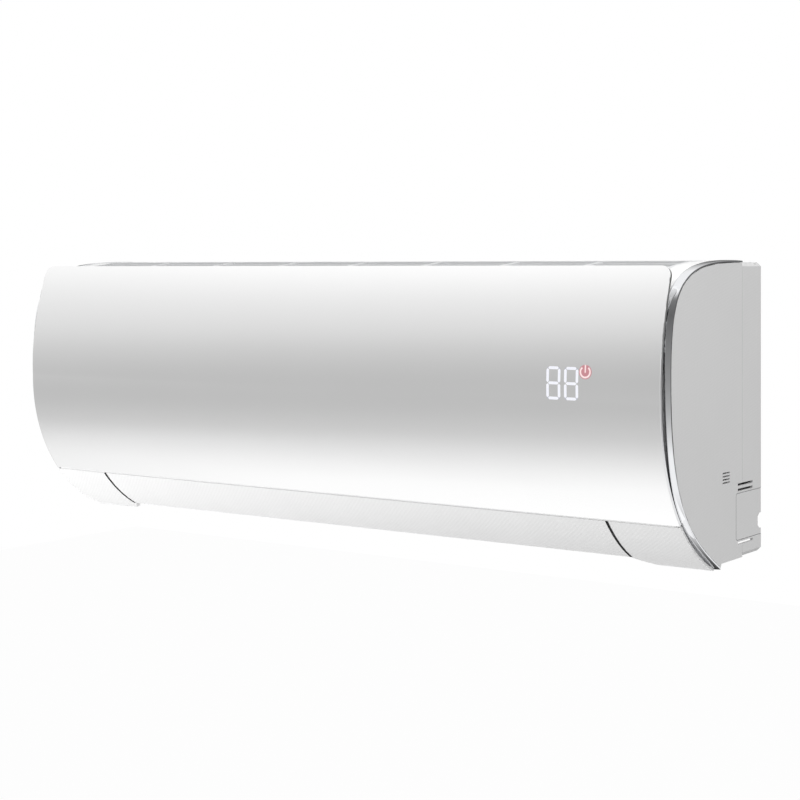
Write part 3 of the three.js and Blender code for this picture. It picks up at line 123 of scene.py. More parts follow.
@dataclass(frozen=True)
class Finish:
    """A real material and how its surface was made."""

    name: str
    colour: str
    grain: Grain
    pitch_mm: float                 # size of one repeat of the grain
    depth: float = 0.1              # strength of the grain's relief
    tint: float = 0.03              # how far the colour strays
    roughness: float = 0.5
    spread: float = 0.05            # how far the roughness strays
    metallic: float = 0.0
    ior: float = 1.5
    coat: float = 0.0
    coat_roughness: float = 0.05
    cloud_mm: float = 60.0          # size of the slow stray of colour and gloss
    relief_mm: float = 0.2          # height of the grain at a depth of 1

    def material(self) -> bpy.types.Material:
        """Returns the material, made on first use."""
        found = bpy.data.materials.get(self.name)
        return found or self._make()

    def _make(self) -> bpy.types.Material:
        """Builds the shader: a base finish, its grain's relief and its stray of colour and gloss.

        Returns:
            The new material.
        """
        made, tree = blank_material(self.name)
        shader = add_node(tree, "ShaderNodeBsdfPrincipled", {
            "Metallic": self.metallic, "Coat Weight": self.coat, "Coat Roughness": self.coat_roughness})
        if self.metallic < 1:
            shader.inputs["IOR"].default_value = self.ior
        place = add_node(tree, "ShaderNodeTexCoord").outputs["Object"]
        height = self._relief(tree, place)
        stray = add_node(tree, "ShaderNodeTexNoise", {"Scale": 1 / (self.cloud_mm * MM), "Detail": 3.0},
                         {"Vector": place})
        base = linear(self.colour)
        dark = tuple(c * (1 - self.tint) for c in base[:3]) + (1.0,)
        pale = tuple(min(1.0, c * (1 + self.tint)) for c in base[:3]) + (1.0,)
        cloud = add_node(tree, "ShaderNodeMix", {"data_type": "RGBA", 6: dark, 7: pale},
                         {0: stray.outputs["Fac"]})
        grained = add_node(tree, "ShaderNodeMix", {
            "data_type": "RGBA", "blend_type": "MULTIPLY", 0: min(1.0, self.tint * 3)},
            {6: cloud.outputs[2], 7: height})
        gloss = add_node(tree, "ShaderNodeMapRange", {
            "To Min": max(0.02, self.roughness - self.spread), "To Max": self.roughness + self.spread},
            {"Value": stray.outputs["Fac"]})
        bump = add_node(tree, "ShaderNodeBump", {"Strength": self.depth, "Distance": self.relief_mm * MM},
                        {"Height": height})
        tree.links.new(grained.outputs[2], shader.inputs["Base Color"])
        tree.links.new(gloss.outputs["Result"], shader.inputs["Roughness"])
        tree.links.new(bump.outputs["Normal"], shader.inputs["Normal"])
        end = add_node(tree, "ShaderNodeOutputMaterial")
        tree.links.new(shader.outputs["BSDF"], end.inputs["Surface"])
        return made

    def _relief(self, tree: bpy.types.NodeTree, place: bpy.types.NodeSocket) -> bpy.types.NodeSocket:
        """Draws the grain as a height from 0 to 1.

        Args:
            tree: The material's node tree.
            place: The position on the object, in metres.

        Returns:
            The height.
        """
        repeats = 1 / (self.pitch_mm * MM)
        if self.grain is Grain.DIAGONAL_TWILL:
            waves = []
            for slant in (0.7, -0.7):
                turned = add_node(tree, "ShaderNodeVectorRotate", {
                    "rotation_type": "EULER_XYZ", "Rotation": (slant, slant, slant)}, {"Vector": place})
                waves.append(add_node(tree, "ShaderNodeTexWave", {
                    "Scale": repeats / WAVES_PER_METRE, "Distortion": 0.0, "wave_profile": "SIN"},
                    {"Vector": turned.outputs["Vector"]}).outputs["Fac"])
            return add_node(tree, "ShaderNodeMath", {"operation": "MULTIPLY"},
                            {0: waves[0], 1: waves[1]}).outputs["Value"]
        if self.grain is Grain.FINNED:
            return add_node(tree, "ShaderNodeTexWave", {
                "Scale": repeats / WAVES_PER_METRE, "bands_direction": "X"},
                {"Vector": place}).outputs["Fac"]
        if self.grain is Grain.SPANGLED:
            return add_node(tree, "ShaderNodeTexVoronoi", {"Scale": repeats},
                            {"Vector": place}).outputs["Distance"]
        if self.grain is Grain.NETTED:
            return add_node(tree, "ShaderNodeTexBrick", {
                "Scale": 1.0, "Mortar Size": self.pitch_mm * MM * 0.15, "offset": 0.0,
                "Brick Width": self.pitch_mm * MM, "Row Height": self.pitch_mm * MM},
                {"Vector": place}).outputs["Fac"]
        if self.grain is Grain.PRINTED_BOARD:
            return add_node(tree, "ShaderNodeTexBrick", {
                "Scale": 1.0, "Mortar Size": self.pitch_mm * MM * 0.1,
                "Brick Width": self.pitch_mm * MM * 4, "Row Height": self.pitch_mm * MM},
                {"Vector": place}).outputs["Fac"]
        stretched = add_node(tree, "ShaderNodeMapping", {
            "Scale": (0.05, 1.0, 1.0) if self.grain is Grain.DRAWN else (1.0, 1.0, 1.0)},
            {"Vector": place})
        return add_node(tree, "ShaderNodeTexNoise", {"Scale": repeats, "Detail": 2.0},
                        {"Vector": stretched.outputs["Vector"]}).outputs["Fac"]

    def dress(self, *pieces: bpy.types.Object) -> None:
        """Puts this finish alone on the pieces."""
        for piece in pieces:
            piece.data.materials.clear()
            piece.data.materials.append(self.material())


# A pearl film moulded behind clear acrylic: it mirrors the room softly, with a silver cast.
PEARL_PANEL = Finish("pearl_acrylic_panel", "f6f6f6", Grain.PEARL_FLAKE, 0.9, 0.008, 0.008, 0.13, 0.015,
                     metallic=0.94, coat=0.2, coat_roughness=0.04)
# ABS with a twill etched into its mould: satin white with a faint diagonal hatch.
TWILL_ABS = Finish("twill_etched_abs", "f5f5f5", Grain.DIAGONAL_TWILL, 2.8, 0.6, 0.02, 0.42, 0.04)
# Plain satin ABS of the frame and the intake grille.
SATIN_ABS = Finish("satin_moulded_abs", "e4e5e6", Grain.MOULDED, 1.4, 0.04, 0.015, 0.36, 0.04)
# Spark-eroded ABS of the end caps and the chassis: light grey, evenly dull.
HOUSING_ABS = Finish("housing_abs", "d6d6d6", Grain.DIAGONAL_TWILL, 2.4, 0.14, 0.012, 0.5, 0.04)
# The same ABS darkened to paint the shade of a narrow moulded groove: painted shade.
GROOVE_SHADE_ABS = Finish("painted_groove_shade_abs", "8f8f90", Grain.MOULDED, 1.0, 0.05, 0.03, 0.6, 0.04)
# Chrome plate on ABS: a clear mirror, with the least haze.
CHROME = Finish("chrome_plate", "f1f2f4", Grain.PLATED, 30, 0.004, 0.01, 0.06, 0.02, metallic=1.0)
# Zinc-dipped sheet steel: dull grey with spangles about a centimetre across.
GALVANISED = Finish("galvanised_sheet", "b4b8ba", Grain.SPANGLED, 9, 0.05, 0.12, 0.42, 0.1, metallic=0.85)
# Fin stock pressed over the tubes: real fins stand 1.4 mm apart, drawn twice as coarse to show.
FINS = Finish("aluminium_fins", "c9cdd0", Grain.FINNED, 2.8, 0.9, 0.25, 0.4, 0.05, metallic=0.9)
# Drawn copper tube, slightly darkened in streaks by brazing.
COPPER = Finish("drawn_copper", "b9714a", Grain.DRAWN, 3, 0.05, 0.14, 0.32, 0.08, metallic=1.0)
# Hot-forged brass nuts with a turned face.
BRASS = Finish("forged_brass", "c2a35a", Grain.DRAWN, 2, 0.08, 0.08, 0.3, 0.06, metallic=1.0)
# Centreless-ground steel bar.
BRIGHT_STEEL = Finish("ground_steel", "9a9da0", Grain.DRAWN, 1, 0.05, 0.04, 0.25, 0.05, metallic=1.0)
# Glass-filled styrene of the fan wheel and the terminal block.
DARK_STYRENE = Finish("dark_styrene", "2c2e31", Grain.MOULDED, 1.2, 0.12, 0.08, 0.5, 0.06)
# Uncoloured ABS of the vanes, the drain pan and the small inner pieces.
NATURAL_ABS = Finish("natural_abs", "e6e6e2", Grain.MOULDED, 2.0, 0.06, 0.02, 0.48, 0.05)
# Moulded EPDM.
EPDM = Finish("moulded_epdm", "141416", Grain.MOULDED, 0.8, 0.2, 0.1, 0.8, 0.06)
# Solder mask over copper tracks.
SOLDER_MASK = Finish("solder_mask_board", "2d6a45", Grain.PRINTED_BOARD, 2.5, 0.3, 0.18, 0.35, 0.05)
# Woven polypropylene net in a moulded frame: 1 mm mesh, drawn at 2 mm to show.
FILTER_NET = Finish("filter_net", "5c6165", Grain.NETTED, 2.0, 0.6, 0.3, 0.65, 0.05)


# ---------------------------------------------------------------- section lines, in millimetres
def bezier(points: Line, steps: int) -> Line:
    """Samples a cubic curve.

    Args:
        points: Its four control points.
        steps: Number of spans.

    Returns:
        The points on the curve, both ends included.
    """
    found = []
    for i in range(steps + 1):
        t = i / steps
        s = 1 - t
        weights = (s ** 3, 3 * s * s * t, 3 * s * t * t, t ** 3)
        found.append((sum(w * p[0] for w, p in zip(weights, points)),
                      sum(w * p[1] for w, p in zip(weights, points))))
    return found


def inset(line: Line, distance: float) -> Line:
    """Moves an open line to its left, which is the inside of the unit.

    Args:
        line: Points as (y, z).
        distance: How far, in millimetres.

    Returns:
        The moved line.
    """
    moved = []
    for i, (y, z) in enumerate(line):
        before, after = line[max(i - 1, 0)], line[min(i + 1, len(line) - 1)]
        dy, dz = after[0] - before[0], after[1] - before[1]
        length = math.hypot(dy, dz)
        moved.append((y - dz / length * distance, z + dy / length * distance))
    return moved


def between_heights(line: Line, high: float, low: float) -> Line:
    """Cuts a falling line exactly at two heights.

    Args:
        line: Points as (y, z).
        high: Upper cut.
        low: Lower cut.

    Returns:
        The part between the cuts.
    """
    found: Line = []
    for (y0, z0), (y1, z1) in zip(line, line[1:]):
        for level in (high, low):
            if (z0 - level) * (z1 - level) < 0:
                t = (level - z0) / (z1 - z0)
                found.append((y0 + t * (y1 - y0), level))
        if low < z1 < high:
            found.append((y1, z1))
    return found


@dataclass(frozen=True)
class Sections:
    """The unit's two outlines, the same curves as the CAD's, sampled finely."""

    top: float = 143.4
    depth: float = 197.0
    seam: float = 44.0
    belly: float = 36.9
    tip_y: float = -93.4
    panel_y: float = -203.5

    def end_arc(self) -> Line:
        """Returns the end trim's outer line, from the seam over the front to the tip."""
        flat = 60.0
        upper = bezier([(-flat, self.top), (-flat - 0.856 * (self.depth - flat), self.top),
                        (-self.depth, self.belly + 83.6), (-self.depth, self.belly)], 40)
        lower = bezier([(-self.depth, self.belly), (-self.depth, self.belly - 110.9),
                        (self.tip_y - 69.5, -self.top + 37.8), (self.tip_y, -self.top)], 56)
        return [(-self.seam, self.top), (-52.0, self.top)] + upper + lower[1:]

    def panel(self) -> Line:
        """Returns the front line shared by the panel, the louver and the lower ends."""
        upper = bezier([(-180.5, 138.2), (-208.4, 65.7), (self.panel_y, 24.3), (self.panel_y, 14.1)], 60)
        lower = bezier([(self.panel_y, 14.1), (self.panel_y, -73.3), (-143.2, -128.5),
                        (-95.0, -144.6)], 90)
        return upper + lower[1:]

    def panel_at(self, height: float) -> float:
        """Returns the panel's y at a height on it."""
        line = self.panel()
        for (y0, z0), (y1, z1) in zip(line, line[1:]):
            if z1 <= height <= z0:
                return y0 + (height - z0) / (z1 - z0) * (y1 - y0)
        return line[-1][0]


# ---------------------------------------------------------------- mesh makers
def mesh_object(name: str, points: list[Vector], faces: list[tuple[int, ...]]) -> bpy.types.Object:
    """Makes a smooth-shaded object from points in millimetres.

    Args:
        name: Its name.
        points: Vertices, in millimetres.
        faces: Vertex numbers of each face.

    Returns:
        The object, linked to the scene.
    """
    mesh = bpy.data.meshes.new(name)
    mesh.from_pydata([p * MM for p in points], [], faces)
    mesh.validate()
    mesh.update()
    made = bpy.data.objects.new(name, mesh)
    bpy.context.scene.collection.objects.link(made)
    for face in mesh.polygons:
        face.use_smooth = True
    return made


def soften_edges(piece: bpy.types.Object, radius_mm: float, segments: int = 2) -> None:
    """Rounds a piece's sharp edges and keeps its flats flat.

    Args:
        piece: The piece.
        radius_mm: Width of the rounding.
        segments: Number of steps across it.
    """
    rounding = piece.modifiers.new("rounded_edges", "BEVEL")
    rounding.width = radius_mm * MM
    rounding.segments = segments
    rounding.limit_method = "ANGLE"
    rounding.angle_limit = math.radians(40)
    rounding.harden_normals = True
    piece.data.set_sharp_from_angle(angle=math.radians(40))


@dataclass
class BentShell:
    """A sheet of even thickness that follows a section line across the width."""

    name: str
    line: Line
    x0: float
    x1: float
    thickness: float
    corner: float = 0.0             # radius of its two upper corners
    edge: float = 0.5               # rounding of its edges

    def columns(self) -> list[float]:
        """Returns the x of each column, close together at the corners."""
        steps = [self.corner * (1 - math.cos(math.radians(a))) for a in range(0, 91, 10)]
        near = [self.x0 + s for s in steps] if self.corner else [self.x0]
        far = [self.x1 - s for s in reversed(steps)] if self.corner else [self.x1]
        inner = [near[-1] + (far[0] - near[-1]) * i / 24 for i in range(1, 24)]
        return near + inner + far

    def top_at(self, x: float) -> float:
        """Returns the sheet's upper end at a column.

        Args:
            x: The column's x.

        Returns:
            Height of its upper end.
        """
        top = self.line[0][1]
        into = self.corner - min(x - self.x0, self.x1 - x)
        if self.corner <= 0 or into <= 0:
            return top
        return top - self.corner + math.sqrt(max(0.0, self.corner ** 2 - into ** 2))

    def build(self) -> bpy.types.Object:
        """Builds the closed sheet.

        Returns:
            The object.
        """
        columns = self.columns()
        outer = self.line
        inner = inset(self.line, self.thickness)
        rows = len(outer)
        span = outer[0][1] - outer[-1][1]
        points: list[Vector] = []
        for x in columns:
            drop = outer[0][1] - self.top_at(x)
            for ring in (outer, inner):
                for y, z in ring:
                    share = max(0.0, min(1.0, (z - outer[-1][1]) / span)) if drop > 0 else 0.0
                    points.append(Vector((x, *self._lowered(ring, z - drop * share ** 6, y))))
        faces: list[tuple[int, ...]] = []
        for c in range(len(columns) - 1):
            a, b = 2 * rows * c, 2 * rows * (c + 1)
            for r in range(rows - 1):
                faces.append((a + r, a + r + 1, b + r + 1, b + r))
                faces.append((a + rows + r, b + rows + r, b + rows + r + 1, a + rows + r + 1))
            faces.append((a, b, b + rows, a + rows))
            faces.append((a + rows - 1, a + 2 * rows - 1, b + 2 * rows - 1, b + rows - 1))
        last = 2 * rows * (len(columns) - 1)
        for r in range(rows - 1):
            faces.append((r, r + rows, r + rows + 1, r + 1))
            faces.append((last + r, last + r + 1, last + r + rows + 1, last + r + rows))
        made = mesh_object(self.name, points, faces)
        soften_edges(made, self.edge)
        return made

    @staticmethod
    def _lowered(ring: Line, height: float, fallback: float) -> Point:
        """Returns the point of a ring at a height, or straight below its end."""
        for (y0, z0), (y1, z1) in zip(ring, ring[1:]):
            if min(z0, z1) <= height <= max(z0, z1) and z0 != z1:
                return (y0 + (height - z0) / (z1 - z0) * (y1 - y0), height)
        return (fallback, height)


def smooth_frame_node(name: str, finish: Finish, angle: float = 30.0) -> None:
    """Dresses a CAD node and shades its curves smoothly, its mesh left as it is.

    Args:
        name: The node.
        finish: Its finish.
        angle: Edges sharper than this stay crisp, in degrees.
    """
    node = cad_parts[name]
    finish.dress(node)
    for face in node.data.polygons:
        face.use_smooth = True
    weld = node.modifiers.new("welded", "WELD")
    weld.merge_threshold = 0.02 * MM
    crisp = node.modifiers.new("crisp_edges", "EDGE_SPLIT")
    crisp.split_angle = math.radians(angle)
    LOG.info("%s: CAD node in %s", name, finish.name)


# ---------------------------------------------------------------- sub-assemblies
@dataclass
class FrontPanel:
    """The bowed front panel with its lit display."""

    sections: Sections
    half_width: float = 396.5
    bottom: float = -95.0
    thickness: float = 3.0
    corner: float = 10.0
    arm_x: tuple[float, float] = (370.5, 374.5)
    arm_pin: float = 2.2
    hinge: Point = (-166.0, 116.0)
    digits_x: tuple[float, float] = (281.4, 299.9)
    digit_size: Point = (14.6, 30.2)
    digits_low: float = 16.2
    stroke: float = 2.6
    icon: Point = (321.6, 42.3)
    icon_radius: float = 4.9
    icon_stroke: float = 0.8        # half the width of the sign's ring
    icon_opening: float = 38.0      # half the ring's opening, in degrees
    icon_bar: tuple[float, float, float] = (0.7, -0.6, 6.4)    # half width, foot and head
    segment_gap: float = 0.5
    field_lift: float = 0.08        # height of the dim fields above the film
    glow_lift: float = 0.16         # height of the lit forms above the film

    def build(self) -> None:
        """Builds the panel, its digits and its standby sign."""
        line = between_heights(self.sections.panel(), 500, self.bottom)
        line = [self.sections.panel()[0]] + line
        shell = BentShell("panel_shell", line, -self.half_width, self.half_width, self.thickness,
                          self.corner, 0.6).build()
        PEARL_PANEL.dress(shell)
        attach(shell, "front_panel")
        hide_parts("front_panel")
        LOG.info("front panel shell built")
        for side in Side:
            self._arm(side)
        lit = self._glow("segment_glow", "ffffff", "eef0ff", 1.0)
        haze = self._glow("segment_haze", "bdbec8", "b0b2c0", 1.0)
        red = self._glow("standby_field", "d09aa0", "c5868e", 1.0)
        ring = self._glow("standby_glow", "fff0f0", "ffdede", 1.0)
        for number, x in enumerate(self.digits_x, 1):
            ride_on_panel(self._digit(f"digit_{number}", x, lit))
            ride_on_panel(self._sheet(f"digit_field_{number}", [
                (x + 0.8, self.digits_low + 0.8), (x + self.digit_size[0] - 0.8, self.digits_low + 0.8),
                (x + self.digit_size[0] - 0.8, self.digits_low + self.digit_size[1] - 0.8),
                (x + 0.8, self.digits_low + self.digit_size[1] - 0.8)], haze, self.field_lift))
        turns = [math.radians(a) for a in range(0, 360, 12)]
        field_radius = self.icon_radius + 1.6
        ride_on_panel(self._sheet("standby_backing", [
            (self.icon[0] + field_radius * math.cos(a), self.icon[1] + field_radius * math.sin(a))
            for a in turns], red, self.field_lift))
        ride_on_panel(self._standby(ring))
        LOG.info("display built")

    def _arm(self, side: Side) -> None:
        """Builds the hinge arm and pin behind one end of the panel.

        Args:
            side: The end.
        """
        y, z = self.hinge
        x0, x1 = sorted(x * side.value for x in self.arm_x)
        outline = [(self.sections.panel_at(z - 12) + 1.5, z - 12), (y, z - 5), (y + 3.5, z - 3.5),
                   (y + 4.5, z), (y + 3.5, z + 3.5), (y, z + 5), (self.sections.panel_at(z + 8) + 1.5, z + 8)]
        points = [Vector((x, *p)) for x in (x0, x1) for p in outline]
        n = len(outline)
        faces = [tuple(range(n - 1, -1, -1)), tuple(range(n, 2 * n))]
        faces += [(i, (i + 1) % n, n + (i + 1) % n, n + i) for i in range(n)]
        first, turns = len(points), 20
        pin_x = sorted((self.arm_x[0] * side.value, (self.arm_x[1] + 7) * side.value))
        for x in pin_x:
            points += [Vector((x, y + self.arm_pin * math.cos(math.tau * i / turns),
                               z + self.arm_pin * math.sin(math.tau * i / turns))) for i in range(turns)]
        faces += [(first + i, first + (i + 1) % turns, first + turns + (i + 1) % turns, first + turns + i)
                  for i in range(turns)]
        faces += [tuple(range(first + turns - 1, first - 1, -1)),
                  tuple(range(first + turns, first + 2 * turns))]
        arm = mesh_object(f"{side.name.lower()}_hinge_arm", points, faces)
        soften_edges(arm, 0.4)
        NATURAL_ABS.dress(arm)
        ride_on_panel(arm)

    @staticmethod
    def _glow(name: str, colour: str, edge: str, strength: float) -> bpy.types.Material:
        """Returns a light seen through the panel's film, which breaks it into fine grains.

        Args:
            name: Its name.
            colour: Its colour.
            edge: The colour of its weaker grains.
            strength: Its brightness.

        Returns:
            The material.
        """
        made, tree = blank_material(name)
        place = add_node(tree, "ShaderNodeTexCoord").outputs["Object"]
        grain = add_node(tree, "ShaderNodeTexVoronoi", {"Scale": 1 / (0.9 * MM)}, {"Vector": place})
        tone = add_node(tree, "ShaderNodeMix", {"data_type": "RGBA", 6: linear(colour), 7: linear(edge)},
                        {0: grain.outputs["Distance"]})
        light = add_node(tree, "ShaderNodeEmission", {"Strength": strength}, {"Color": tone.outputs[2]})
        add_node(tree, "ShaderNodeOutputMaterial", links={"Surface": light.outputs["Emission"]})
        return made

    def _sheet(self, name: str, outline: Line, light: bpy.types.Material, lift: float) -> bpy.types.Object:
        """Lays a flat outline on the panel.

        Args:
            name: The piece's name.
            outline: Its corners as (x, z).
            light: Its material.
            lift: Height above the panel.

        Returns:
            The piece.
        """
        points = [Vector((x, self.sections.panel_at(z) - lift, z)) for x, z in outline]
        made = mesh_object(name, points, [tuple(range(len(points)))])
        made.data.materials.append(light)
        return made

    def _digit(self, name: str, x: float, light: bpy.types.Material) -> bpy.types.Object:
        """Builds one seven-segment digit.

        Args:
            name: The piece's name.
            x: Its left side.
            light: Its material.

        Returns:
            The piece.
        """
        wide, tall = self.digit_size
        s, gap = self.stroke, self.segment_gap
        low, mid, high = self.digits_low, self.digits_low + tall / 2, self.digits_low + tall
        outlines: list[Line] = []
        for z in (low + s / 2, mid, high - s / 2):
            a, b, h = x + s / 2 + gap, x + wide - s / 2 - gap, s / 2
            outlines.append([(a, z), (a + h, z - h), (b - h, z - h), (b, z), (b - h, z + h), (a + h, z + h)])
        for column in (x + s / 2, x + wide - s / 2):
            for z0, z1 in ((low + s / 2 + gap, mid - gap), (mid + gap, high - s / 2 - gap)):
                h = s / 2
                outlines.append([(column, z0), (column + h, z0 + h), (column + h, z1 - h),
                                 (column, z1), (column - h, z1 - h), (column - h, z0 + h)])
        points: list[Vector] = []
        faces: list[tuple[int, ...]] = []
        for outline in outlines:
            first = len(points)
            points += [Vector((px, self.sections.panel_at(pz) - self.glow_lift, pz)) for px, pz in outline]
            faces.append(tuple(range(first, first + len(outline))))
        made = mesh_object(name, points, faces)
        made.data.materials.append(light)
        return made

    def _standby(self, light: bpy.types.Material) -> bpy.types.Object:
        """Builds the open ring and bar of a standby sign."""
        cx, cz = self.icon
        points: list[Vector] = []
        faces: list[tuple[int, ...]] = []
        steps = 28
        for i in range(steps + 1):
            angle = math.radians(90 + self.icon_opening + (360 - 2 * self.icon_opening) * i / steps)
            for radius in (self.icon_radius - self.icon_stroke, self.icon_radius + self.icon_stroke):
                z = cz + radius * math.sin(angle)
                points.append(Vector((cx + radius * math.cos(angle),
                                      self.sections.panel_at(z) - self.glow_lift, z)))
            if i:
                faces.append((2 * i - 2, 2 * i - 1, 2 * i + 1, 2 * i))
        first = len(points)
        half, foot, head = self.icon_bar
        for x, z in ((cx - half, cz + foot), (cx + half, cz + foot), (cx + half, cz + head),
                     (cx - half, cz + head)):
            points.append(Vector((x, self.sections.panel_at(z) - self.glow_lift, z)))
        faces.append((first, first + 1, first + 2, first + 3))
        made = mesh_object("standby_sign", points, faces)
        made.data.materials.append(light)
        return made


def ride_on_panel(piece: bpy.types.Object) -> None:
    """Lets a piece of the panel or its display move with the front panel."""
    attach(piece, "front_panel")


@dataclass
class EndTrim:
    """The chrome strip round each end, crowned near its inner edge and falling to its outer one."""

    sections: Sections
    inner_x: float = 393.5
    outer_x: float = 402.5
    thickness: float = 2.2
    crown: tuple[Point, ...] = ((0.0, 1.5), (0.0, 0.5), (0.35, 0.12), (0.9, 0.0), (1.8, 0.03), (8.5, 0.5),
                                (8.85, 0.6), (9.0, 0.8))

    def build(self) -> None:
        """Builds both strips in place of their plain solids."""
        for side in Side:
            end = side.name.lower()
            strip = self._strip(f"{end}_trim_strip", side)
            CHROME.dress(strip)
            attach(strip, "casing")
            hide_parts(f"{end}_chrome_trim")
            LOG.info("%s chrome strip built", end)

    def _strip(self, name: str, side: Side) -> bpy.types.Object:
        """Sweeps the strip's section round the end arc.

        Args:
            name: The piece's name.
            side: The end.

        Returns:
            The strip.
        """
        arc = self.sections.end_arc()
        section = list(self.crown) + [(self.outer_x - self.inner_x, self.thickness), (0.0, self.thickness)]
        rails = [inset(arc, deep) for _, deep in section]
        points: list[Vector] = []
        for i in range(len(arc)):
            for (across, _), rail in zip(section, rails):
                points.append(Vector(((self.inner_x + across) * side.value, *rail[i])))
        n = len(section)
        faces: list[tuple[int, ...]] = []
        for i in range(len(arc) - 1):
            for j in range(n):
                ring = (i * n + j, i * n + (j + 1) % n, (i + 1) * n + (j + 1) % n, (i + 1) * n + j)
                faces.append(ring if side is Side.LEFT else ring[::-1])
        head, foot = tuple(range(n)), tuple(range((len(arc) - 1) * n, len(arc) * n))
        faces += [head[::-1], foot] if side is Side.LEFT else [head, foot[::-1]]
        strip = mesh_object(name, points, faces)
        strip.data.set_sharp_from_angle(angle=math.radians(50))
        return strip


@dataclass
class PanelRest:
    """The lip of the frame that shows as a faint seam under the closed panel."""

    sections: Sections
    high: float = -95.2
    low: float = -96.4
    half_width: float = 392.0
    sunk: float = 0.3
    thickness: float = 0.8

    def build(self) -> None:
        """Builds the lip along the whole front."""
        line = inset(between_heights(self.sections.panel(), self.high, self.low), self.sunk)
        lip = BentShell("panel_rest_lip", line, -self.half_width, self.half_width, self.thickness,
                        0.0, 0.1).build()
        TWILL_ABS.dress(lip)
        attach(lip, "casing")
        LOG.info("panel rest lip built")


@dataclass
class LouverGapShades:
    """Black strips that fill the running gap between the louver and the fixed lower ends, painting the gap's
    shade.
    """

    sections: Sections
    top: float = -96.8
    end_y: float = -114.2
    from_x: float = 320.25
    to_x: float = 322.9
    proud: float = 0.22

    def build(self) -> None:
        """Builds both shade strips along the front line."""
        line = between_heights(self.sections.panel(), self.top, -200)
        line = inset([p for p in line if p[0] < self.end_y], -self.proud)
        for side in Side:
            x0, x1 = sorted((self.from_x * side.value, self.to_x * side.value))
            gap_shade_strip = BentShell(f"{side.name.lower()}_louver_seal", line, x0, x1, 2.4, 0.0, 0.15).build()
            # Painted shade: the black rubber colour stands in for the shade in the running gap.
            EPDM.dress(gap_shade_strip)
            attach(gap_shade_strip, "casing")
            LOG.info("%s louver seal built", side.name.lower())


@dataclass
class KnockoutShadeLines:
    """A dark grey strip round each snap-out cover of the end caps, painting the shade of its break line."""

    face_x: float = 402.2
    front: float = -58.0
    low: float = -120.9
    high: float = -76.7
    radius: float = 3.0
    width: float = 0.7
    back: float = -1.0
    proud: float = 0.02
    deep: float = 0.6

    def build(self) -> None:
        """Builds both painted shade lines."""
        y, r = self.front, self.radius
        turns = [math.radians(a) for a in range(90, 181, 15)]
        path = [(self.back, self.high)]
        path += [(y + r + r * math.cos(a), self.high - r + r * math.sin(a)) for a in turns]
        path += [(y + r + r * math.cos(a + math.pi / 2), self.low + r + r * math.sin(a + math.pi / 2))
                 for a in turns]
        path.append((self.back, self.low))
        for side in Side:
            points: list[Vector] = []
            for ring in (inset(path, -self.width / 2), inset(path, self.width / 2)):
                for x in (self.face_x + self.proud, self.face_x - self.deep):
                    points += [Vector((x * side.value, *p)) for p in ring]
            n = len(path)
            faces = []
            for i in range(n - 1):
                for a, b in ((0, 1), (1, 3), (3, 2), (2, 0)):
                    faces.append((a * n + i, b * n + i, b * n + i + 1, a * n + i + 1))
            faces += [(0, n, 3 * n, 2 * n), (n - 1, 3 * n - 1, 4 * n - 1, 2 * n - 1)]
            line = mesh_object(f"{side.name.lower()}_knockout_line", points, faces)
            # Painted shade: the dark grey stands in for the shade inside the cover's break line.
            GROOVE_SHADE_ABS.dress(line)
            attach(line, "casing")
            LOG.info("%s knock-out line built", side.name.lower())


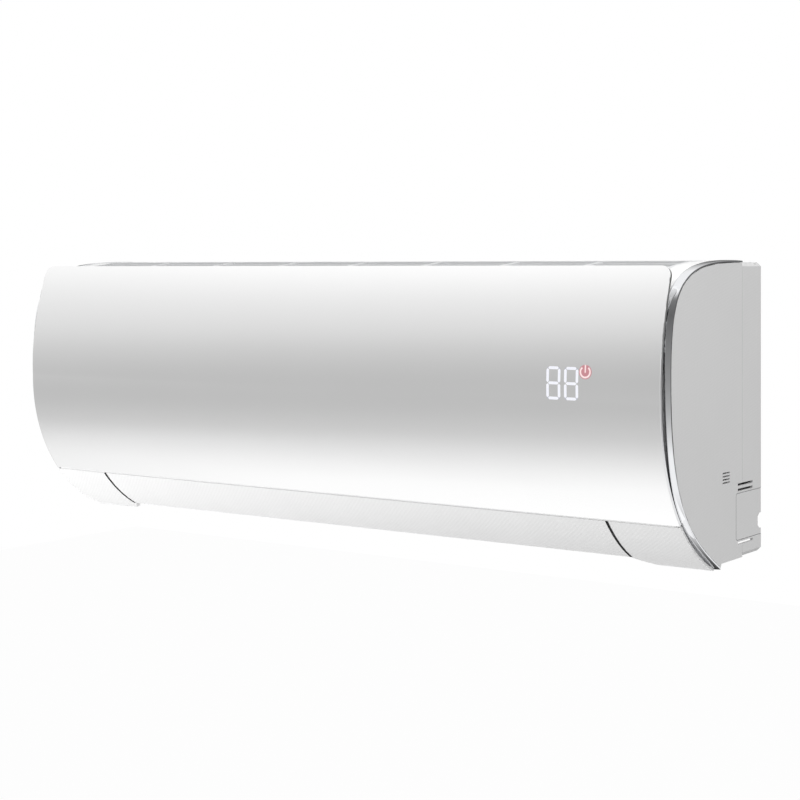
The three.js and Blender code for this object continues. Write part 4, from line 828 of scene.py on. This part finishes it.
@dataclass
class FanWheel:
    """The cross-flow fan with the blade count of a real one."""

    y: float = -82.0
    z: float = -18.0
    radius: float = 49.6
    root: float = 38.5
    half_long: float = 316.0
    blades: int = 35
    cells: int = 9
    shaft: float = 4.0
    shaft_end: float = -328.8
    bore_gap: float = 0.3
    hub: float = 11.0
    hub_long: float = 18.0
    plate: float = 3.0              # thickness of the two end plates
    ring_half: float = 0.9          # half the thickness of the rings between the cells
    sweep: float = 0.34             # how far a blade's rim leads its root, in radians

    def build(self) -> None:
        """Builds the wheel in place of its plain solid."""
        points: list[Vector] = []
        faces: list[tuple[int, ...]] = []
        for b in range(self.blades):
            self._blade(points, faces, math.tau * b / self.blades)
        for cell in range(1, self.cells):
            x = -self.half_long + 2 * self.half_long * cell / self.cells
            self._disc(points, faces, x - self.ring_half, x + self.ring_half, self.root - 1.5)
        end, bore = self.half_long, self.shaft + self.bore_gap
        self._disc(points, faces, -end, -end + self.plate, 0.0)
        self._disc(points, faces, end - self.plate, end, bore)
        self._disc(points, faces, end - self.hub_long, end - self.plate, bore, self.hub)
        self._disc(points, faces, self.shaft_end, -end, 0.0, self.shaft)
        wheel = mesh_object("fan_wheel", points, faces)
        wheel.data.set_sharp_from_angle(angle=math.radians(35))
        DARK_STYRENE.dress(wheel)
        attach(wheel, "fan")
        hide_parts("cross_flow_fan")
        LOG.info("fan wheel built with %d blades", self.blades)

    def _blade(self, points: list[Vector], faces: list[tuple[int, ...]], turn: float) -> None:
        """Adds one cambered blade.

        Args:
            points: The wheel's vertices so far.
            faces: The wheel's faces so far.
            turn: The blade's place round the axis, in radians.
        """
        steps = 4
        first = len(points)
        for x in (-self.half_long + 1, self.half_long - 1):
            for flip in (1, -1):
                for i in range(steps + 1):
                    t = (i if flip > 0 else steps - i) / steps
                    r = self.root + (self.radius - self.root) * t
                    thick = 0.25 + 0.45 * math.sin(math.pi * min(1.0, t + 0.1))
                    a = turn + self.sweep * t * t - flip * thick / r
                    points.append(Vector((x, self.y + r * math.cos(a), self.z + r * math.sin(a))))
        n = 2 * (steps + 1)
        faces += [(first + j, first + (j + 1) % n, first + n + (j + 1) % n, first + n + j) for j in range(n)]
        faces += [tuple(range(first + n - 1, first - 1, -1)), tuple(range(first + n, first + 2 * n))]

    def _disc(self, points: list[Vector], faces: list[tuple[int, ...]], x0: float, x1: float,
              inner: float, outer: float | None = None) -> None:
        """Adds a disc or ring round the axis.

        Args:
            points: The wheel's vertices so far.
            faces: The wheel's faces so far.
            x0: Its left face.
            x1: Its right face.
            inner: Its bore's radius, 0 for none.
            outer: Its radius, the wheel's own if left out.
        """
        turns = 56
        rims = [(x0, outer or self.radius), (x1, outer or self.radius)]
        rims += [(x1, max(inner, 0.05)), (x0, max(inner, 0.05))]
        first = len(points)
        for x, r in rims:
            points += [Vector((x, self.y + r * math.cos(math.tau * i / turns),
                               self.z + r * math.sin(math.tau * i / turns))) for i in range(turns)]
        for k in range(4):
            a, b = first + k * turns, first + (k + 1) % 4 * turns
            faces += [(a + i, b + i, b + (i + 1) % turns, a + (i + 1) % turns) for i in range(turns)]


@dataclass
class Casing:
    """The chassis, frame, caps and the rest that doesn't move."""

    finishes: dict[str, Finish] = field(default_factory=lambda: {
        "wall_mounting_plate": GALVANISED, "rear_chassis": HOUSING_ABS, "front_frame": TWILL_ABS,
        "top_intake_grille": SATIN_ABS, "right_end_cap": HOUSING_ABS, "left_end_cap": HOUSING_ABS,
        "right_knockout_cover": HOUSING_ABS, "left_knockout_cover": HOUSING_ABS,
        "louver_motor": GALVANISED, "louver_bush": NATURAL_ABS, "drain_pan": NATURAL_ABS,
        "drain_plug": EPDM, "fan_bearing": EPDM, "fan_motor": NATURAL_ABS, "motor_clamp": HOUSING_ABS,
        "coil_front_lower": FINS, "coil_front_upper": FINS, "coil_rear": FINS,
        "right_tube_sheet": COPPER, "left_tube_sheet": COPPER, "gas_pipe": COPPER,
        "liquid_pipe": COPPER, "gas_flare_nut": BRASS, "liquid_flare_nut": BRASS,
        "pipe_holder": NATURAL_ABS, "control_box": GALVANISED, "control_box_cover": GALVANISED,
        "main_board": SOLDER_MASK, "terminal_block": DARK_STYRENE, "room_sensor": NATURAL_ABS,
    })

    def build(self) -> None:
        """Dresses each fixed node."""
        for name, finish in self.finishes.items():
            smooth_frame_node(name, finish)


@dataclass
class MovingPieces:
    """What turns, slides or lifts."""

    vanes: int = 5                  # in each half of the outlet

    def build(self) -> None:
        """Dresses the nodes that move."""
        smooth_frame_node("louver", TWILL_ABS)
        smooth_frame_node("display_board", SOLDER_MASK)
        smooth_frame_node("display_light_guide", DARK_STYRENE)
        smooth_frame_node("motor_shaft", BRIGHT_STEEL)
        smooth_frame_node("manual_button", SATIN_ABS)
        for side in Side:
            end = side.name.lower()
            smooth_frame_node(f"{end}_air_filter", FILTER_NET)
            smooth_frame_node(f"{end}_vane_link", NATURAL_ABS)
            for number in range(1, self.vanes + 1):
                smooth_frame_node(f"{end}_vane_{number}", NATURAL_ABS)


# ---------------------------------------------------------------- studio
@dataclass
class Studio:
    """A pale floor, soft lamps and one graduated card for the gloss, all round the hung unit."""

    floor_low: float = -3.1
    floor_half: float = 14.0
    floor_paint: float = 0.86
    floor_glow: float = 1.01
    floor_share: float = 0.95       # share of the glow in what the camera sees
    sky: float = 0.56
    lamps: tuple[tuple[str, tuple[float, float, float], Point, float], ...] = (
        ("key_softbox", (-1.3, -2.3, 2.1), (2.4, 1.6), 30.0),
        ("top_softbox", (0.2, -0.9, 2.4), (2.2, 1.2), 16.0),
        ("side_softbox", (1.7, -0.4, 1.2), (0.9, 0.9), 14.5),
        ("low_bounce", (-1.35, -1.1, -1.0), (1.4, 0.9), 22.0))
    card_radius: float = 3.0
    card_steps: tuple[int, int] = (180, 120)
    card_span: Point = (-78.0, 80.0)
    lean: float = 0.36              # rise of the panel's bands for each degree to the right
    lean_from: float = 32.0         # degrees below the horizon where the lean begins
    lean_pivot: float = -38.0
    sink: float = 0.25              # fall of the low bands for each degree past sink_from
    sink_from: float = -45.0
    sink_most: float = 26.0
    back_from: float = 112.0        # beyond this, either way, the card is the wall's
    left_from: float = -95.0
    strip_from: float = -16.0       # right of this the card is the chrome strip's
    strip_blend: float = 4.0
    reflects: float = 0.93          # share of the card's tone that the panel gives back
    panel_levels: Levels = (
        (-78, 1.05), (-56, 1.0), (-52, 0.96), (-46, 0.9), (-41, 0.83), (-34, 0.73), (-29, 0.65),
        (-24.5, 0.58), (-19, 0.54), (-13, 0.5), (-9, 0.49), (-5, 0.49), (-0.7, 0.51), (3.3, 0.54),
        (8.3, 0.59), (11.7, 0.64), (15.7, 0.7), (19, 0.74), (22.5, 0.78), (27, 0.84), (29, 0.88),
        (32, 0.93), (36, 1.02), (40, 1.06), (80, 1.0))
    strip_levels: Levels = (
        (-78, 0.75), (-72, 0.75), (-61, 0.9), (-50, 1.0), (-28, 1.0), (-19, 0.72), (-11, 0.46), (-4, 0.32),
        (3, 0.25), (16, 0.19), (34, 0.14), (57, 0.2), (62, 0.3), (71, 0.75), (80, 1.0))
    back_levels: Levels = (
        (-78, 0.6), (-67, 0.3), (-60, 0.14), (-50, 0.03), (-43, 0.06), (-36, 0.9), (-14, 0.9), (-8, 0.05),
        (3, 0.1), (12, 0.16), (19, 0.24), (30, 0.6), (45, 0.95), (80, 1.0))
    left_levels: Levels = ((-78, 0.9), (-40, 0.88), (0, 0.6), (20, 0.85), (80, 1.0))

    def build(self) -> None:
        """Builds the floor, the card, the lamps and the world."""
        self._floor()
        self._card()
        for lamp in self.lamps:
            self._lamp(*lamp)
        self._world()
        LOG.info("studio built")

    def _floor(self) -> None:
        """Lays the pale floor, white to the camera and holding the unit's shadow."""
        size = self.floor_half
        mesh = bpy.data.meshes.new("floor")
        mesh.from_pydata([(-size, -size, self.floor_low), (size, -size, self.floor_low),
                          (size, size, self.floor_low), (-size, size, self.floor_low)], [], [(0, 1, 2, 3)])
        floor = bpy.data.objects.new("floor", mesh)
        bpy.context.scene.collection.objects.link(floor)
        made, tree = blank_material("pale_floor")
        paint = add_node(tree, "ShaderNodeBsdfDiffuse", {"Color": (self.floor_paint,) * 3 + (1,)})
        glow = add_node(tree, "ShaderNodeEmission", {"Strength": self.floor_glow})
        share = add_node(tree, "ShaderNodeMath", {"operation": "MULTIPLY", 1: self.floor_share},
                         {0: self._seen(tree)})
        mix = add_node(tree, "ShaderNodeMixShader", {}, {
            0: share.outputs["Value"], 1: paint.outputs["BSDF"], 2: glow.outputs["Emission"]})
        add_node(tree, "ShaderNodeOutputMaterial", links={"Surface": mix.outputs["Shader"]})
        mesh.materials.append(made)

    @staticmethod
    def _seen(tree: bpy.types.NodeTree) -> bpy.types.NodeSocket:
        """Returns 1 for rays that show the background: camera, glossy and transmission rays."""
        path = add_node(tree, "ShaderNodeLightPath")
        first = add_node(tree, "ShaderNodeMath", {"operation": "MAXIMUM"}, {
            0: path.outputs["Is Camera Ray"], 1: path.outputs["Is Glossy Ray"]})
        return add_node(tree, "ShaderNodeMath", {"operation": "MAXIMUM"}, {
            0: first.outputs["Value"], 1: path.outputs["Is Transmission Ray"]}).outputs["Value"]

    def tone(self, azimuth: float, elevation: float) -> float:
        """Returns the card's brightness in a direction.

        Args:
            azimuth: Degrees from straight in front, to the right.
            elevation: Degrees above the horizon.

        Returns:
            Its brightness.
        """
        if abs(azimuth) > self.back_from:
            return self._level(self.back_levels, elevation)
        if azimuth < self.left_from:
            return self._level(self.left_levels, elevation)
        leaning = max(0.0, min(1.0, (elevation + self.lean_from) / self.lean_from))
        sunk = self.sink * min(self.sink_most, max(0.0, self.sink_from - azimuth)) * (1 - leaning)
        aim = elevation - self.lean * leaning * (azimuth - self.lean_pivot) - sunk
        panel = self._level(self.panel_levels, aim) / self.reflects
        if azimuth < self.strip_from:
            return panel
        strip = self._level(self.strip_levels, elevation)
        share = min(1.0, (azimuth - self.strip_from) / self.strip_blend)
        return panel + (strip - panel) * share

    def _card(self) -> None:
        """Stands the graduated card all round, which only gloss sees."""
        columns, rows = self.card_steps
        low, high = self.card_span
        points, faces, tones = [], [], []
        for i in range(columns + 1):
            azimuth = -180 + 360 * i / columns
            for j in range(rows + 1):
                elevation = low + (high - low) * j / rows
                a, e = math.radians(azimuth), math.radians(elevation)
                points.append((self.card_radius * math.sin(a) * math.cos(e),
                               -self.card_radius * math.cos(a) * math.cos(e) - 0.1,
                               self.card_radius * math.sin(e)))
                tones.append(self.tone(azimuth, elevation))
        for i in range(columns):
            for j in range(rows):
                a = i * (rows + 1) + j
                faces.append((a, a + rows + 1, a + rows + 2, a + 1))
        mesh = bpy.data.meshes.new("gloss_card")
        mesh.from_pydata(points, [], faces)
        shade = mesh.attributes.new("tone", "FLOAT", "POINT")
        shade.data.foreach_set("value", tones)
        card = bpy.data.objects.new("gloss_card", mesh)
        bpy.context.scene.collection.objects.link(card)
        made, tree = blank_material("gloss_card_paint")
        level = add_node(tree, "ShaderNodeAttribute", {"attribute_name": "tone"})
        glow = add_node(tree, "ShaderNodeEmission", links={"Strength": level.outputs["Fac"]})
        add_node(tree, "ShaderNodeOutputMaterial", links={"Surface": glow.outputs["Emission"]})
        mesh.materials.append(made)
        card.visible_camera = False
        card.visible_diffuse = False
        card.visible_shadow = False
        card.visible_transmission = False

    @staticmethod
    def _level(levels: Levels, angle: float) -> float:
        """Returns the brightness at an elevation, between the stated levels."""
        for (a0, v0), (a1, v1) in zip(levels, levels[1:]):
            if a0 <= angle <= a1:
                return v0 + (angle - a0) / (a1 - a0) * (v1 - v0)
        return levels[0][1] if angle < levels[0][0] else levels[-1][1]

    @staticmethod
    def _lamp(name: str, place: tuple[float, float, float], size: Point, power: float) -> None:
        """Hangs a softbox aimed at the unit.

        Args:
            name: Its name.
            place: Its position in metres.
            size: Width and height in metres.
            power: Watts.
        """
        lamp = bpy.data.lights.new(name, "AREA")
        lamp.shape, lamp.size, lamp.size_y, lamp.energy = "RECTANGLE", size[0], size[1], power
        made = bpy.data.objects.new(name, lamp)
        made.location = place
        aim = Vector((0, -0.1, 0)) - Vector(place)
        made.rotation_euler = aim.to_track_quat("-Z", "Y").to_euler()
        made.visible_glossy = False
        bpy.context.scene.collection.objects.link(made)

    def _world(self) -> None:
        """Sets an even white sky, brighter to the rays that show the background."""
        world = bpy.data.worlds.new("studio_world")
        world.use_nodes = True
        tree = world.node_tree
        tree.nodes.clear()
        strength = add_node(tree, "ShaderNodeMapRange", {"To Min": self.sky, "To Max": 1.0},
                            {"Value": self._seen(tree)})
        sky = add_node(tree, "ShaderNodeBackground", {"Color": (1, 1, 1, 1)},
                       {"Strength": strength.outputs["Result"]})
        add_node(tree, "ShaderNodeOutputWorld", links={"Surface": sky.outputs["Background"]})
        bpy.context.scene.world = world


@dataclass(frozen=True)
class Viewpoint:
    """The photograph's camera: level, to the right of the unit, with a lowered frame."""

    azimuth: float = 35.3
    place: tuple[float, float, float] = (1.0701, -1.5487, 0.1351)
    lens: float = 76.63
    drop: float = -0.164

    def build(self) -> None:
        """Makes the camera and sets it as the scene's."""
        camera = bpy.data.cameras.new("camera")
        camera.lens, camera.sensor_width, camera.shift_y = self.lens, 36.0, self.drop
        camera.clip_end = 60.0
        made = bpy.data.objects.new("camera", camera)
        made.location = self.place
        made.rotation_euler = (math.pi / 2, 0, math.radians(self.azimuth))
        bpy.context.scene.collection.objects.link(made)
        bpy.context.scene.camera = made


def main() -> None:
    """Builds the unit's looks, the studio and the camera."""
    logging.basicConfig(level=logging.INFO, format="%(name)s: %(message)s")
    bpy.context.scene.view_settings.view_transform = "Standard"
    sections = Sections()
    for part in (Viewpoint(), Studio(), Casing(), MovingPieces(), FanWheel(), FrontPanel(sections),
                 PanelRest(sections), LouverGapShades(sections), KnockoutShadeLines(), EndTrim(sections)):
        part.build()


if __name__ == "__main__":
    main()
